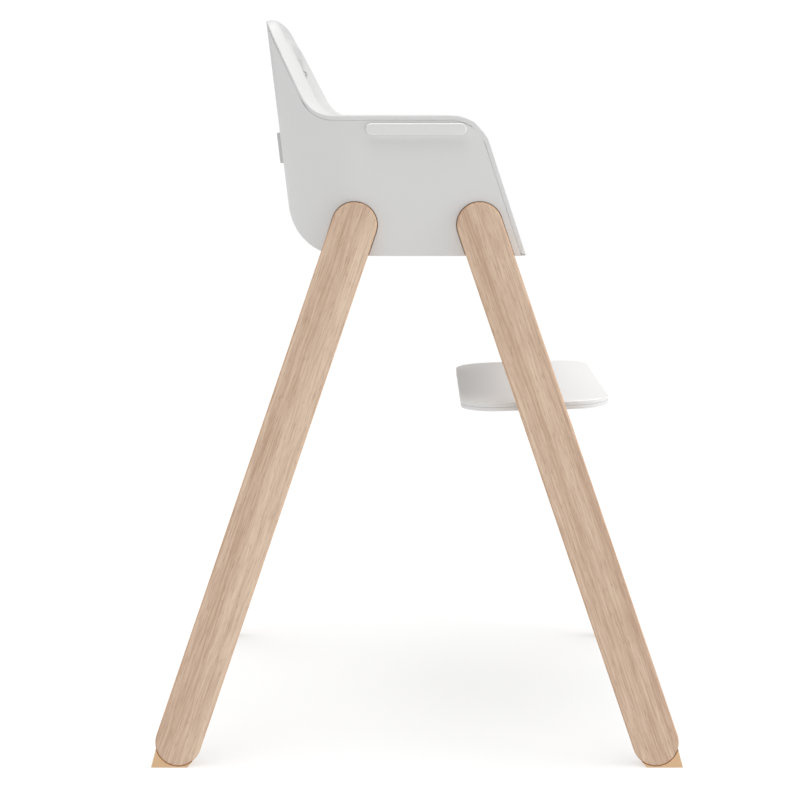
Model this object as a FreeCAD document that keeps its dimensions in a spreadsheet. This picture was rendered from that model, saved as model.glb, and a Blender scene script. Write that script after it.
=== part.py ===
import FreeCAD, Part
import math
import os

import Sketcher
from FreeCAD import Placement, Rotation, Vector

# A baby high chair: a moulded bucket seat on four splayed board legs, a footrest that slides on the
# front legs, and a five-point harness. Millimetres; +X is the chair's front, +Y its left, +Z up.
# The origin is the middle of the footprint, on the floor.

DIMENSIONS = {
    # seat shell: its plan at the floor of the shell and at the top of the back
    "back_top_height": 915.0,
    "shell_floor_height": 618.0,
    "shell_floor_rear": 158.5,
    "shell_top_rear": 192.4,
    "shell_floor_half": 174.0,
    "shell_top_half": 194.6,
    "shell_floor_corner": 92.0,
    "shell_top_corner": 112.0,
    "shell_wall": 3.0,
    "rear_heel_radius": 72.0,
    # side profile of the seat
    "arm_top_height": 791.2,
    "front_lower_x": 135.9,
    "front_lean": 18.48,
    "front_corner_radius": 48.0,
    "wing_lean": 26.3,
    "crest_arm_x": 117.0,
    "crest_arm_radius": 32.0,
    "shell_arm_x": 130.7,
    "shell_arm_radius": 43.0,
    "crown_radius": 1105.0,
    "rim_lip": 5.5,
    "parting_gap": 0.25,
    # seat tub
    "seat_height": 650.0,
    "tub_wall": 3.0,
    "tub_floor_rear": 132.9,
    "tub_top_rear": 163.2,
    "tub_floor_half": 128.0,
    "tub_top_half": 161.6,
    "tub_corner": 62.0,
    "tub_floor_radius": 26.0,
    # legs
    "leg_width": 56.5,
    "leg_thickness": 24.0,
    "leg_top_x": 77.5,
    "leg_top_height": 657.0,
    "leg_foot_x": 292.0,
    "leg_foot_height": 29.5,
    "leg_track_half": 283.0,
    "leg_splay": 8.3,
    "leg_edge_radius": 2.5,
    "leg_recess_gap": 0.9,
    "leg_back_gap": 0.2,
    "foot_toe": 33.0,
    "foot_wedge_height": 25.0,
    "foot_flat_inset": 11.0,
    "foot_tail_inset": 19.5,
    "foot_tail_height": 9.5,
    "foot_gap": 0.15,
    "foot_peg_radius": 6.0,
    "foot_peg_length": 26.0,
    "peg_clearance": 0.15,
    # leg fastening
    "bolt_radius": 3.0,
    "bolt_clearance": 0.25,
    "bolt_head_radius": 5.0,
    "bolt_head_height": 4.0,
    "bolt_upper_height": 668.0,
    "bolt_lower_height": 640.0,
    "insert_radius": 4.6,
    "insert_length": 13.0,
    "washer_radius": 7.0,
    "washer_thickness": 1.5,
    "side_plate_length": 222.0,
    "side_plate_width": 52.0,
    "side_plate_thickness": 3.0,
    "side_plate_height": 652.0,
    "cross_bar_size": 18.0,
    "cross_bar_wall": 2.0,
    "cross_bar_height": 634.5,
    # tray rails
    "rail_rear_x": 63.4,
    "rail_front_x": 61.0,
    "rail_height": 775.0,
    "rail_width": 15.2,
    "rail_proud": 6.1,
    "rail_sunk": 1.0,
    "rail_gap": 0.4,
    "rail_screw_inset": 24.0,
    "rail_screw_radius": 2.0,
    # footrest, in its own frame: how far its middle stands behind the leg's, its height and tilt
    "footrest_setback": 3.75,
    "footrest_height": 435.7,
    "footrest_tilt": 1.8,
    "footrest_depth": 187.5,
    "footrest_side_gap": 3.5,
    "footrest_corner": 46.0,
    "footrest_thickness": 10.6,
    "footrest_cover_thickness": 5.4,
    "footrest_parting": 0.3,
    "footrest_dish": 2.0,
    "footrest_edge_radius": 1.6,
    "footrest_screw_x": 62.0,
    "footrest_screw_y": 120.0,
    "footrest_screw_radius": 2.0,
    # footrest guides
    "track_top_thickness": 7.75,
    "track_groove_depth": 4.8,
    "track_width": 34.0,
    "track_top_height": 449.0,
    "track_bottom_height": 308.0,
    "key_width": 15.4,
    "key_clearance": 0.3,
    "key_end_gap": 0.4,
    "key_top": -4.0,
    "key_bottom": -37.0,
    "track_screw_radius": 2.2,
    "shoe_offset_x": 4.0,
    "shoe_inset": 0.5,
    "shoe_width": 35.5,
    "shoe_length": 46.0,
    "shoe_thickness": 12.0,
    "ear_thickness": 5.0,
    "lever_pivot_inset": 13.5,
    "lever_pivot_drop": 31.5,
    "lever_pin_radius": 2.5,
    "lever_hub_radius": 6.0,
    "lever_reach": 52.0,
    "lever_width": 26.0,
    "lever_thickness": 5.0,
    "pin_running_clearance": 0.06,
    # harness
    "strap_width": 25.0,
    "strap_thickness": 1.6,
    "strap_lift": 1.6,
    "strap_back_lift": 3.0,
    "shoulder_strap_y": 55.0,
    "slot_height": 850.0,
    "slot_clearance": 0.8,
    "anchor_height": 749.0,
    "anchor_tall": 40.0,
    "anchor_wide": 75.0,
    "anchor_deep": 8.0,
    "anchor_screw_y": 20.0,
    "harness_cavity": 5.7,
    "harness_bar_wide": 140.0,
    "harness_bar_tall": 18.0,
    "harness_bar_deep": 3.5,
    "harness_bar_gap": 1.3,
    "buckle_x": -2.0,
    "buckle_long": 46.0,
    "buckle_wide": 44.0,
    "buckle_lower_height": 9.0,
    "buckle_cover_height": 6.0,
    "button_radius": 9.0,
    "button_clearance": 0.4,
    "button_proud": 1.5,
    "button_height": 8.8,
    "spring_wire": 0.6,
    "spring_radius": 5.0,
    "tongue_thickness": 2.4,
    "tongue_depth": 8.0,
    "tongue_width": 24.0,
    "slider_height": 765.0,
    "slider_wide": 32.0,
    "slider_tall": 14.0,
    "lap_slot_y": 96.0,
    "crotch_slot_x": 48.0,
}

os.makedirs("parts", exist_ok=True)
document = FreeCAD.newDocument("BabyHighChair")
sheet = document.addObject("Spreadsheet::Sheet", "Sizes")


class Size:
    """A length or angle: its number, and the sheet expression that gives it."""

    def __init__(self, number, words):
        self.number = number
        self.words = words

    def __add__(self, other):
        other = as_size(other)
        return Size(self.number + other.number, f"({self.words} + {other.words})")

    def __sub__(self, other):
        other = as_size(other)
        return Size(self.number - other.number, f"({self.words} - {other.words})")

    def __mul__(self, other):
        other = as_size(other)
        return Size(self.number * other.number, f"({self.words} * {other.words})")

    def __truediv__(self, other):
        other = as_size(other)
        return Size(self.number / other.number, f"({self.words} / {other.words})")

    def __neg__(self):
        return Size(-self.number, f"(0 - {self.words})")

    def __radd__(self, other):
        return as_size(other) + self

    def __rsub__(self, other):
        return as_size(other) - self

    def __rmul__(self, other):
        return as_size(other) * self


def as_size(value):
    if isinstance(value, Size):
        return value
    number = float(value)
    return Size(number, f"(0 - {-number!r})" if number < 0 else repr(number))


def sine(angle):
    return Size(math.sin(math.radians(angle.number)), f"sin({angle.words})")


def cosine(angle):
    return Size(math.cos(math.radians(angle.number)), f"cos({angle.words})")


def tangent(angle):
    return Size(math.tan(math.radians(angle.number)), f"tan({angle.words})")


def arc_tangent(ratio):
    return Size(math.degrees(math.atan(ratio.number)), f"(atan({ratio.words}) / 1 deg)")


class Dimensions:
    """The driving dimensions by name, each one a cell of the sheet."""

    def __init__(self, table):
        for row, (name, number) in enumerate(table.items(), start=1):
            sheet.set(f"A{row}", name.replace("_", " "))
            sheet.set(f"B{row}", str(number))
            sheet.setAlias(f"B{row}", name)
            setattr(self, name, Size(number, f"Sizes.{name}"))


D = Dimensions(DIMENSIONS)
document.recompute()


def bind(thing, sizes):
    for name, size in sizes.items():
        thing.setExpression(name, as_size(size).words)


# ---- sketches -----------------------------------------------------------------------------------

# For each origin plane, the sign that its sketch normal has along the remaining axis.
NORMAL_SIGN = {"XY_Plane": 1, "XZ_Plane": -1, "YZ_Plane": 1}


def sketch_on(body, plane, offset):
    origin_plane = next(f for f in body.Origin.OriginFeatures if f.Role == plane)
    sketch = body.newObject("Sketcher::SketchObject", body.Name + "_sketch")
    sketch.AttachmentSupport = [(origin_plane, "")]
    sketch.MapMode = "FlatFace"
    bind(sketch, {"AttachmentOffset.Base.z": offset})
    return sketch


def fix_point(sketch, geometry, position, x, y):
    for kind, size in (("DistanceX", as_size(x)), ("DistanceY", as_size(y))):
        index = sketch.addConstraint(
            Sketcher.Constraint(kind, -1, 1, geometry, position, size.number)
        )
        sketch.setExpression(f"Constraints[{index}]", size.words)


def fix_radius(sketch, geometry, radius):
    radius = as_size(radius)
    index = sketch.addConstraint(Sketcher.Constraint("Radius", geometry, radius.number))
    sketch.setExpression(f"Constraints[{index}]", radius.words)


def draw_slot(sketch, first, second, radius):
    """A stadium round the line between two centres."""
    radius = as_size(radius)
    ends = [Vector(as_size(p[0]).number, as_size(p[1]).number, 0) for p in (first, second)]
    along = (ends[1] - ends[0]).normalize()
    heading = math.atan2(along.y, along.x)
    aside = Vector(-along.y, along.x, 0) * radius.number
    quarter = math.pi / 2
    arcs = []
    for end, turn in ((ends[0], quarter), (ends[1], -quarter)):
        circle = Part.Circle(end, Vector(0, 0, 1), radius.number)
        start = heading + turn
        arcs.append(sketch.addGeometry(Part.ArcOfCircle(circle, start, start + math.pi)))
    lower = sketch.addGeometry(Part.LineSegment(ends[0] - aside, ends[1] - aside))
    upper = sketch.addGeometry(Part.LineSegment(ends[1] + aside, ends[0] + aside))
    for line, line_end, arc, arc_end in (
        (lower, 1, arcs[0], 2),
        (lower, 2, arcs[1], 1),
        (upper, 1, arcs[1], 2),
        (upper, 2, arcs[0], 1),
    ):
        sketch.addConstraint(Sketcher.Constraint("Tangent", line, line_end, arc, arc_end))
    fix_point(sketch, arcs[0], 3, *first)
    fix_point(sketch, arcs[1], 3, *second)
    fix_radius(sketch, arcs[0], radius)


def corner_arc(corner, before, after, radius):
    """The points where a rounding leaves its two edges, its centre and its turning sense."""
    to_before = (before - corner).normalize()
    to_after = (after - corner).normalize()
    half = math.acos(max(-1.0, min(1.0, to_before.dot(to_after)))) / 2
    reach = radius / math.tan(half)
    centre = corner + (to_before + to_after).normalize() * (radius / math.sin(half))
    left = (-to_before).cross(to_after).z > 0
    return corner + to_before * reach, corner + to_after * reach, centre, left


def draw_outline(sketch, corners):
    """A closed outline of straight edges. A corner is (x, y), or (x, y, radius) if it is rounded."""
    points = [Vector(as_size(c[0]).number, as_size(c[1]).number, 0) for c in corners]
    count = len(points)
    rounds = {}
    for i, corner in enumerate(corners):
        if len(corner) == 3:
            radius = as_size(corner[2])
            before, after = points[i - 1], points[(i + 1) % count]
            rounds[i] = (radius, *corner_arc(points[i], before, after, radius.number))
    lines = []
    for i in range(count):
        start = rounds[i][2] if i in rounds else points[i]
        following = (i + 1) % count
        end = rounds[following][1] if following in rounds else points[following]
        lines.append(sketch.addGeometry(Part.LineSegment(start, end)))
    for i, corner in enumerate(corners):
        arriving, leaving = lines[i - 1], lines[i]
        if i not in rounds:
            sketch.addConstraint(Sketcher.Constraint("Coincident", arriving, 2, leaving, 1))
            fix_point(sketch, leaving, 1, corner[0], corner[1])
            continue
        radius, first, second, centre, left = rounds[i]
        angles = [math.atan2(p.y - centre.y, p.x - centre.x) for p in (first, second)]
        if not left:
            angles.reverse()
        if angles[1] < angles[0]:
            angles[1] += 2 * math.pi
        circle = Part.Circle(centre, Vector(0, 0, 1), radius.number)
        arc = sketch.addGeometry(Part.ArcOfCircle(circle, *angles))
        tip = sketch.addGeometry(Part.Point(points[i]), True)
        fix_point(sketch, tip, 1, corner[0], corner[1])
        sketch.addConstraint(Sketcher.Constraint("PointOnObject", tip, 1, arriving))
        sketch.addConstraint(Sketcher.Constraint("PointOnObject", tip, 1, leaving))
        start, end = (1, 2) if left else (2, 1)
        sketch.addConstraint(Sketcher.Constraint("Tangent", arriving, 2, arc, start))
        sketch.addConstraint(Sketcher.Constraint("Tangent", arc, end, leaving, 1))
        fix_radius(sketch, arc, radius)


# ---- solids -------------------------------------------------------------------------------------


def prism(name, plane, low, high, draw, *shapes):
    """A body padded from low to high along the axis that the plane leaves out."""
    low, high = as_size(low), as_size(high)
    body = document.addObject("PartDesign::Body", name)
    offset = low if NORMAL_SIGN[plane] > 0 else -high
    sketch = sketch_on(body, plane, offset)
    for shape in shapes:
        draw(sketch, *shape)
    pad = body.newObject("PartDesign::Pad", name + "_pad")
    pad.Profile = sketch
    bind(pad, {"Length": high - low})
    return body


def plate(name, plane, low, high, corners):
    return prism(name, plane, low, high, draw_outline, (corners,))


def loft(name, levels):
    """A body lofted straight between two level outlines, each given as (height, corners)."""
    body = document.addObject("PartDesign::Body", name)
    sketches = []
    for height, corners in levels:
        sketch = sketch_on(body, "XY_Plane", height)
        draw_outline(sketch, corners)
        sketches.append(sketch)
    feature = body.newObject("PartDesign::AdditiveLoft", name + "_loft")
    feature.Profile = sketches[0]
    feature.Sections = sketches[1:]
    feature.Ruled = True
    return body


def block(name, x, y, z):
    """A box between (low, high) sizes on each axis."""
    box = document.addObject("Part::Box", name)
    low = [as_size(pair[0]) for pair in (x, y, z)]
    high = [as_size(pair[1]) for pair in (x, y, z)]
    bind(box, {"Length": high[0] - low[0], "Width": high[1] - low[1], "Height": high[2] - low[2]})
    bind(box, {f"Placement.Base.{axis}": low[i] for i, axis in enumerate("xyz")})
    return box


def rod(name, radius, length, base, turn_axis=Vector(1, 0, 0), turn=0.0):
    """A cylinder from base; at no turn it points up, and turn_axis and turn aim it elsewhere."""
    turn = as_size(turn)
    cylinder = document.addObject("Part::Cylinder", name)
    cylinder.Placement = Placement(Vector(), Rotation(turn_axis, turn.number))
    bind(cylinder, {"Radius": radius, "Height": length})
    if turn.number:
        bind(cylinder, {"Placement.Rotation.Angle": turn})
    bind(cylinder, {f"Placement.Base.{axis}": base[i] for i, axis in enumerate("xyz")})
    return cylinder


def fuse(name, shapes):
    joined = document.addObject("Part::MultiFuse", name)
    joined.Shapes = list(shapes)
    return joined


def common(name, first, second):
    shared = document.addObject("Part::MultiCommon", name)
    shared.Shapes = [first, second]
    return shared


def cut(name, base, tools):
    tools = list(tools)
    result = document.addObject("Part::Cut", name)
    result.Base = base
    result.Tool = tools[0] if len(tools) == 1 else fuse(name + "_tools", tools)
    return result


def round_edges(name, base, radius, chosen):
    """Rounds the edges that chosen(edge) picks, at most as far as the sheet's radius."""
    document.recompute()
    picked = [i for i, edge in enumerate(base.Shape.Edges, start=1) if chosen(edge)]
    if not picked:
        raise ValueError(f"{name} has no edge to round")
    fillet = document.addObject("Part::Fillet", name)
    fillet.Base = base
    fillet.Edges = [(i, radius.number, radius.number) for i in picked]
    return fillet


def at_height(height):
    """Chooses the edges that lie level at a height."""

    def chosen(edge):
        return all(abs(vertex.Z - height.number) < 0.01 for vertex in edge.Vertexes)

    return chosen


def group(name, shapes):
    """Separate solids that share one node."""
    shapes = list(shapes)
    collected = document.addObject("Part::Compound", name)
    collected.Links = shapes
    return collected


nodes = []


def node(thing, label):
    thing.Label = label
    nodes.append(thing)
    return thing


SIDES = {"left": 1, "right": -1}
ENDS = {"front": 1, "rear": -1}


def side_span(side, inner, outer):
    """The (low, high) of a span that lies inner to outer from the middle, on one side."""
    inner, outer = as_size(inner), as_size(outer)
    return (inner, outer) if side > 0 else (-outer, -inner)


# ---- legs ---------------------------------------------------------------------------------------

splay_slope = tangent(D.leg_splay)
leg_skew = D.leg_thickness / cosine(D.leg_splay)
leg_lean = (D.leg_foot_x - D.leg_top_x) / (D.leg_top_height - D.leg_foot_height)
leg_angle = arc_tangent(leg_lean)


def leg_face_half(depth, height):
    """How far from the middle the plane lies that is this deep under the legs' outer face."""
    return D.leg_track_half - as_size(depth) / cosine(D.leg_splay) - splay_slope * height


def slab(name, side, outer_depth, inner_depth):
    """The space between two planes parallel to a leg's outer face."""
    low, high = as_size(-30.0), as_size(760.0)
    corners = [
        (side * leg_face_half(outer_depth, low), low),
        (side * leg_face_half(outer_depth, high), high),
        (side * leg_face_half(inner_depth, high), high),
        (side * leg_face_half(inner_depth, low), low),
    ]
    return plate(name, "YZ_Plane", -400.0, 400.0, corners)


def leg_prism(name, end, side, radius):
    """A leg's side outline, right across its side of the chair."""
    top = (end * D.leg_top_x, D.leg_top_height)
    foot = (end * D.leg_foot_x, D.leg_foot_height)
    low, high = side_span(side, 100.0, 330.0)
    return prism(name, "XZ_Plane", low, high, draw_slot, (top, foot, radius))


def leg_rod(name, end, side, radius, length, depth, height, inwards=False):
    """A cylinder square to a leg's face, from the given depth under the outer face, outwards.

    The height is where its axis meets the outer face.
    """
    x = end * leg_x(height)
    y = side * (leg_face_half(0.0, height) - depth * cosine(D.leg_splay))
    z = height - depth * sine(D.leg_splay)
    turn = 90.0 - D.leg_splay
    axis = Vector(-side, 0, 0)
    if inwards:
        turn = 90.0 + D.leg_splay
        axis = Vector(side, 0, 0)
    return rod(name, radius, length, (x, y, z), axis, turn)


BOLT_HEIGHTS = {"upper": D.bolt_upper_height, "lower": D.bolt_lower_height}


def track_screw_heights():
    return (D.track_top_height - 22.0, D.track_bottom_height + 24.0)


def leg_x(height):
    return D.leg_top_x + leg_lean * (D.leg_top_height - height)


def make_leg(end_name, side_name):
    end, side = ENDS[end_name], SIDES[side_name]
    tag = f"{end_name}_{side_name}"
    half = D.leg_width / 2
    board = common(
        f"board_{tag}",
        leg_prism(f"board_outline_{tag}", end, side, half),
        slab(f"board_slab_{tag}", side, 0.0, D.leg_thickness),
    )

    def on_face(edge):
        offsets = [
            abs(v.Y) + v.Z * splay_slope.number - D.leg_track_half.number for v in edge.Vertexes
        ]
        outer = all(abs(o) < 0.01 for o in offsets)
        inner = all(abs(o + leg_skew.number) < 0.01 for o in offsets)
        return outer or inner

    rounded = round_edges(f"rounded_{tag}", board, D.leg_edge_radius, on_face)
    holes = [
        leg_rod(
            f"insert_hole_{tag}_{name}",
            end,
            side,
            D.insert_radius,
            D.insert_length + 1.0,
            D.leg_thickness + 0.5,
            height,
        )
        for name, height in BOLT_HEIGHTS.items()
    ]
    holes.append(peg(f"peg_hole_{tag}", end, side, D.peg_clearance, 2.0))
    if end_name == "front":
        for i, height in enumerate(track_screw_heights()):
            name = f"track_hole_{tag}_{i}"
            holes.append(track_rod(name, side, height, D.track_screw_radius, 6.5, 26.0))
    return cut(f"leg_{tag}", rounded, holes)


def peg(name, end, side, clearance, spare):
    """The foot's peg, which runs up into the leg along its side-view axis."""
    y = side * leg_face_half(D.leg_thickness / 2, D.leg_foot_height)
    start = D.leg_width / 2 + 0.8
    x = end * (D.leg_foot_x + sine(leg_angle) * start)
    z = D.leg_foot_height - cosine(leg_angle) * start
    turned = document.addObject("Part::Cylinder", name)
    turned.Placement = Placement(Vector(), peg_rotation(end, side))
    bind(turned, {"Radius": D.foot_peg_radius + clearance, "Height": D.foot_peg_length + spare})
    bind(turned, {"Placement.Base.x": x, "Placement.Base.y": y, "Placement.Base.z": z})
    return turned


def peg_rotation(end, side):
    """Aims +Z up along the leg: back towards the seat and in towards the middle."""
    along = Vector(
        -end * math.tan(math.radians(leg_angle.number)),
        -side * math.tan(math.radians(D.leg_splay.number)),
        1,
    )
    return Rotation(Vector(0, 0, 1), along)


def make_foot(end_name, side_name):
    end, side = ENDS[end_name], SIDES[side_name]
    tag = f"{end_name}_{side_name}"
    low, high = side_span(side, 200.0, 320.0)
    toe = D.leg_foot_x + D.foot_toe
    outline = [
        (end * toe, 0.0),
        (end * (toe - leg_lean * D.foot_wedge_height + 2.0), D.foot_wedge_height),
        (end * D.leg_foot_x, D.leg_foot_height),
        (end * (D.leg_foot_x - D.foot_tail_inset), D.foot_tail_height),
        (end * (D.leg_foot_x - D.foot_flat_inset), 0.0),
    ]
    wedge = common(
        f"wedge_{tag}",
        plate(f"wedge_outline_{tag}", "XZ_Plane", low, high, outline),
        slab(f"wedge_slab_{tag}", side, 0.0, D.leg_thickness),
    )
    seat = leg_prism(f"foot_seat_{tag}", end, side, D.leg_width / 2 + D.foot_gap)
    pad = cut(f"foot_pad_{tag}", wedge, [seat])
    whole = fuse(f"foot_whole_{tag}", [pad, peg(f"peg_{tag}", end, side, 0.0, 0.0)])
    floor = block(f"foot_floor_{tag}", (-400.0, 400.0), (-400.0, 400.0), (-20.0, 0.0))
    return cut(f"foot_{tag}", whole, [floor])


# ---- footrest tracks ----------------------------------------------------------------------------

track_face_half = leg_face_half(D.leg_thickness, D.track_top_height) - D.track_top_thickness
track_groove_half = track_face_half + D.track_groove_depth
key_end_half = track_groove_half - D.key_end_gap
footrest_half_width = track_face_half - D.footrest_side_gap
shoe_outer_half = footrest_half_width - D.shoe_inset
shoe_inner_half = shoe_outer_half - D.shoe_width
lever_pivot_half = shoe_outer_half - D.lever_pivot_inset


def track_rod(name, side, height, radius, depth, length):
    """A cylinder along Y at a height of the front leg, from depth outside the track's face."""
    turn_axis = Vector(-side, 0, 0)
    base = (leg_x(height), side * (track_face_half + depth), height)
    return rod(name, radius, length, base, turn_axis, 90.0)


def track_outline(half_width, low, high):
    """A strip along the front leg, cut level at both ends."""
    reach = half_width / cosine(leg_angle)
    return [
        (leg_x(low) - reach, low),
        (leg_x(low) + reach, low),
        (leg_x(high) + reach, high),
        (leg_x(high) - reach, high),
    ]


def make_track(side_name):
    side = SIDES[side_name]
    low, high = side_span(side, track_face_half, 240.0)
    strip = common(
        f"track_strip_{side_name}",
        plate(
            f"track_outline_{side_name}",
            "XZ_Plane",
            low,
            high,
            track_outline(D.track_width / 2, D.track_bottom_height, D.track_top_height),
        ),
        slab(f"track_slab_{side_name}", side, D.leg_thickness + 0.1, 120.0),
    )
    groove = plate(
        f"track_groove_{side_name}",
        "XZ_Plane",
        *side_span(side, track_face_half - 5.0, track_groove_half),
        track_outline(
            D.key_width / 2 + D.key_clearance,
            D.track_bottom_height - 5.0,
            D.track_top_height - 8.0,
        ),
    )
    tools = [groove]
    for i, height in enumerate(track_screw_heights()):
        clear = D.track_screw_radius + 0.25
        tools.append(track_rod(f"track_bore_{side_name}_{i}", side, height, clear, 0.0, 60.0))
        tools.append(track_rod(f"track_sink_{side_name}_{i}", side, height, 4.9, 0.0, 7.4))
    return cut(f"footrest_track_{side_name}", strip, tools)


def make_track_screws():
    screws = []
    for side_name, side in SIDES.items():
        for i, height in enumerate(track_screw_heights()):
            tag = f"{side_name}_{i}"
            head = track_rod(f"track_screw_head_{tag}", side, height, 4.6, 5.2, 2.0)
            shank_radius = D.track_screw_radius - 0.05
            shank = track_rod(f"track_screw_shank_{tag}", side, height, shank_radius, 7.0, 24.0)
            screws.append(fuse(f"track_screw_{tag}", [head, shank]))
    return group("track_screws", screws)


# ---- seat shell ---------------------------------------------------------------------------------


def plan_outline(rear, half, corner, front=170.0):
    """The seat seen from above: square at the front, rounded at the two rear corners."""
    return [
        (front, -half),
        (front, half),
        (-rear, half, corner),
        (-rear, -half, corner),
    ]


def plan_loft(name, inset, floor=None):
    """The outer form of the seat, drawn in by inset all round."""
    rise = D.back_top_height - D.shell_floor_height
    over = 12.0
    rear_slope = (D.shell_top_rear - D.shell_floor_rear) / rise
    half_slope = (D.shell_top_half - D.shell_floor_half) / rise
    corner_slope = (D.shell_top_corner - D.shell_floor_corner) / rise
    levels = []
    for height in (D.shell_floor_height - over, D.back_top_height + over):
        up = height - D.shell_floor_height
        outline = plan_outline(
            D.shell_floor_rear + rear_slope * up - inset,
            D.shell_floor_half + half_slope * up - inset,
            D.shell_floor_corner + corner_slope * up - inset,
        )
        levels.append((height, outline))
    return loft(name, levels)


def seat_profile(arm_x, arm_radius, drop, inset=0.0, far=0.0):
    """The seat seen from the side: floor, leaning front, level arm top, wing, top and heel.

    drop lowers the arm top and the back top and draws the front in; inset lifts the floor and
    rounds the heel tighter; far moves the rear edge away, where another form bounds the solid.
    """
    arm = D.arm_top_height - drop
    top = D.back_top_height - drop
    floor = D.shell_floor_height + inset
    front_slope = tangent(D.front_lean)
    front_inset = as_size(drop) / cosine(D.front_lean)
    rear_slope = (D.shell_top_rear - D.shell_floor_rear) / (D.back_top_height - D.shell_floor_height)

    def front_x(height):
        return D.front_lower_x - front_inset - front_slope * (height - D.shell_floor_height)

    def rear_x(height):
        return inset - far - D.shell_floor_rear - rear_slope * (height - D.shell_floor_height)

    wing_top = -arm_x - tangent(D.wing_lean) * (top - arm)
    return [
        (front_x(floor), floor),
        (front_x(arm), arm, D.front_corner_radius - drop * 0.5),
        (-arm_x, arm, arm_radius),
        (wing_top, top),
        (rear_x(top), top),
        (rear_x(floor), floor, D.rear_heel_radius - inset),
    ]


def crown_waste(name, drop):
    """What is cut from the top of the back to arch it from side to side."""
    radius = D.crown_radius - drop
    z = D.back_top_height - D.crown_radius
    span = (D.back_top_height - 45.0, D.back_top_height + 45.0)
    above = block(f"{name}_above", (-260.0, -60.0), (-230.0, 230.0), span)
    arch = rod(f"{name}_arch", radius, 300.0, (-300.0, 0.0, z), Vector(0, 1, 0), 90.0)
    return cut(name, above, [arch])


def make_shell_parts():
    wide = 230.0
    lip = D.rim_lip + D.parting_gap
    shell_profile = seat_profile(D.shell_arm_x, D.shell_arm_radius, lip)
    shell_form = common(
        "shell_form",
        plan_loft("shell_plan", 0.0),
        plate("shell_profile", "XZ_Plane", -wide, wide, shell_profile),
    )
    hollow = seat_profile(D.shell_arm_x, D.shell_arm_radius, lip, D.shell_wall)
    rear_top, heel = hollow[-2:]
    over = D.back_top_height + 20.0
    cavity_outline = [
        (170.0, D.shell_floor_height + D.shell_wall),
        (170.0, over),
        (rear_top[0] - 60.0, over),
        rear_top[:2],
        heel,
    ]
    shell_cavity = common(
        "shell_cavity",
        plan_loft("cavity_plan", D.shell_wall),
        plate("cavity_profile", "XZ_Plane", -wide, wide, cavity_outline),
    )
    bowl = cut("shell_bowl", shell_form, [shell_cavity])

    pocket_walls, pockets = [], []
    for end_name, end in ENDS.items():
        for side_name, side in SIDES.items():
            tag = f"{end_name}_{side_name}"
            wall_radius = D.leg_width / 2 + D.leg_recess_gap + D.shell_wall
            wall_depth = D.leg_thickness + D.leg_back_gap + D.shell_wall
            wall = common(
                f"pocket_wall_{tag}",
                leg_prism(f"pocket_wall_outline_{tag}", end, side, wall_radius),
                slab(f"pocket_wall_slab_{tag}", side, -40.0, wall_depth),
            )
            pocket_walls.append(wall)
            pockets.append(
                common(
                    f"pocket_{tag}",
                    leg_prism(f"pocket_outline_{tag}", end, side, D.leg_width / 2 + D.leg_recess_gap),
                    slab(f"pocket_slab_{tag}", side, -40.0, D.leg_thickness + D.leg_back_gap),
                )
            )
    walls_inside = common("pocket_walls_inside", fuse("pocket_walls", pocket_walls), shell_form)
    walled = fuse("shell_walled", [bowl, walls_inside])

    tools = [*pockets, crown_waste("shell_crown_waste", lip)]
    for end_name, end in ENDS.items():
        for side_name, side in SIDES.items():
            for name, height in BOLT_HEIGHTS.items():
                tools.append(
                    leg_rod(
                        f"shell_bolt_hole_{end_name}_{side_name}_{name}",
                        end,
                        side,
                        D.bolt_radius + D.bolt_clearance,
                        12.0,
                        D.leg_thickness + 8.0,
                        height,
                    )
                )
    for side_name, side in SIDES.items():
        recess_half = rail_back_half - 0.15
        tools.append(rail_prism(f"rail_recess_{side_name}", side, D.rail_gap, recess_half, 230.0))
        for i, x in enumerate(rail_screw_places()):
            name = f"rail_screw_hole_{side_name}_{i}"
            clear = D.rail_screw_radius + 0.2
            base = (x, side * (rail_back_half - 12.0), D.rail_height)
            tools.append(rod(name, clear, 20.0, base, Vector(-side, 0, 0), 90.0))
    for i, (x, y) in enumerate(boss_places()):
        tools.append(rod(f"liner_screw_hole_{i}", 2.3, 10.0, (x, y, D.shell_floor_height - 4.0)))
    for i, y in enumerate(anchor_screw_places()):
        base = (shell_rear_x(D.anchor_height) - 20.0, y, D.anchor_height)
        tools.append(rod(f"anchor_screw_hole_{i}", 2.25, 40.0, base, Vector(0, 1, 0), 90.0))
    return cut("outer_shell", walled, tools)


# ---- tray rails ---------------------------------------------------------------------------------


shell_half_slope = (D.shell_top_half - D.shell_floor_half) / (D.back_top_height - D.shell_floor_height)
shell_half_at_rail = D.shell_floor_half + shell_half_slope * (D.rail_height - D.shell_floor_height)
rail_face_half = shell_half_at_rail + D.rail_proud
rail_back_half = shell_half_at_rail - D.rail_sunk


def rail_prism(name, side, grow, inner, outer):
    radius = D.rail_width / 2
    first = (-D.rail_rear_x + radius, D.rail_height)
    second = (D.rail_front_x - radius, D.rail_height)
    low, high = side_span(side, inner, outer)
    return prism(name, "XZ_Plane", low, high, draw_slot, (first, second, radius + grow))


def rail_screw_places():
    return (-D.rail_rear_x + D.rail_screw_inset, D.rail_front_x - D.rail_screw_inset)


def make_rail(side_name):
    side = SIDES[side_name]
    bar = rail_prism(f"rail_bar_{side_name}", side, 0.0, rail_back_half, rail_face_half)
    face = rail_face_half.number
    rounded = round_edges(
        f"rail_rounded_{side_name}",
        bar,
        as_size(2.2),
        lambda edge: all(abs(abs(v.Y) - face) < 0.01 for v in edge.Vertexes),
    )
    holes = [
        rod(
            f"rail_pilot_{side_name}_{i}",
            D.rail_screw_radius,
            5.0,
            (x, side * (rail_back_half - 0.5), D.rail_height),
            Vector(-side, 0, 0),
            90.0,
        )
        for i, x in enumerate(rail_screw_places())
    ]
    return cut(f"tray_rail_{side_name}", rounded, holes)


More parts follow.
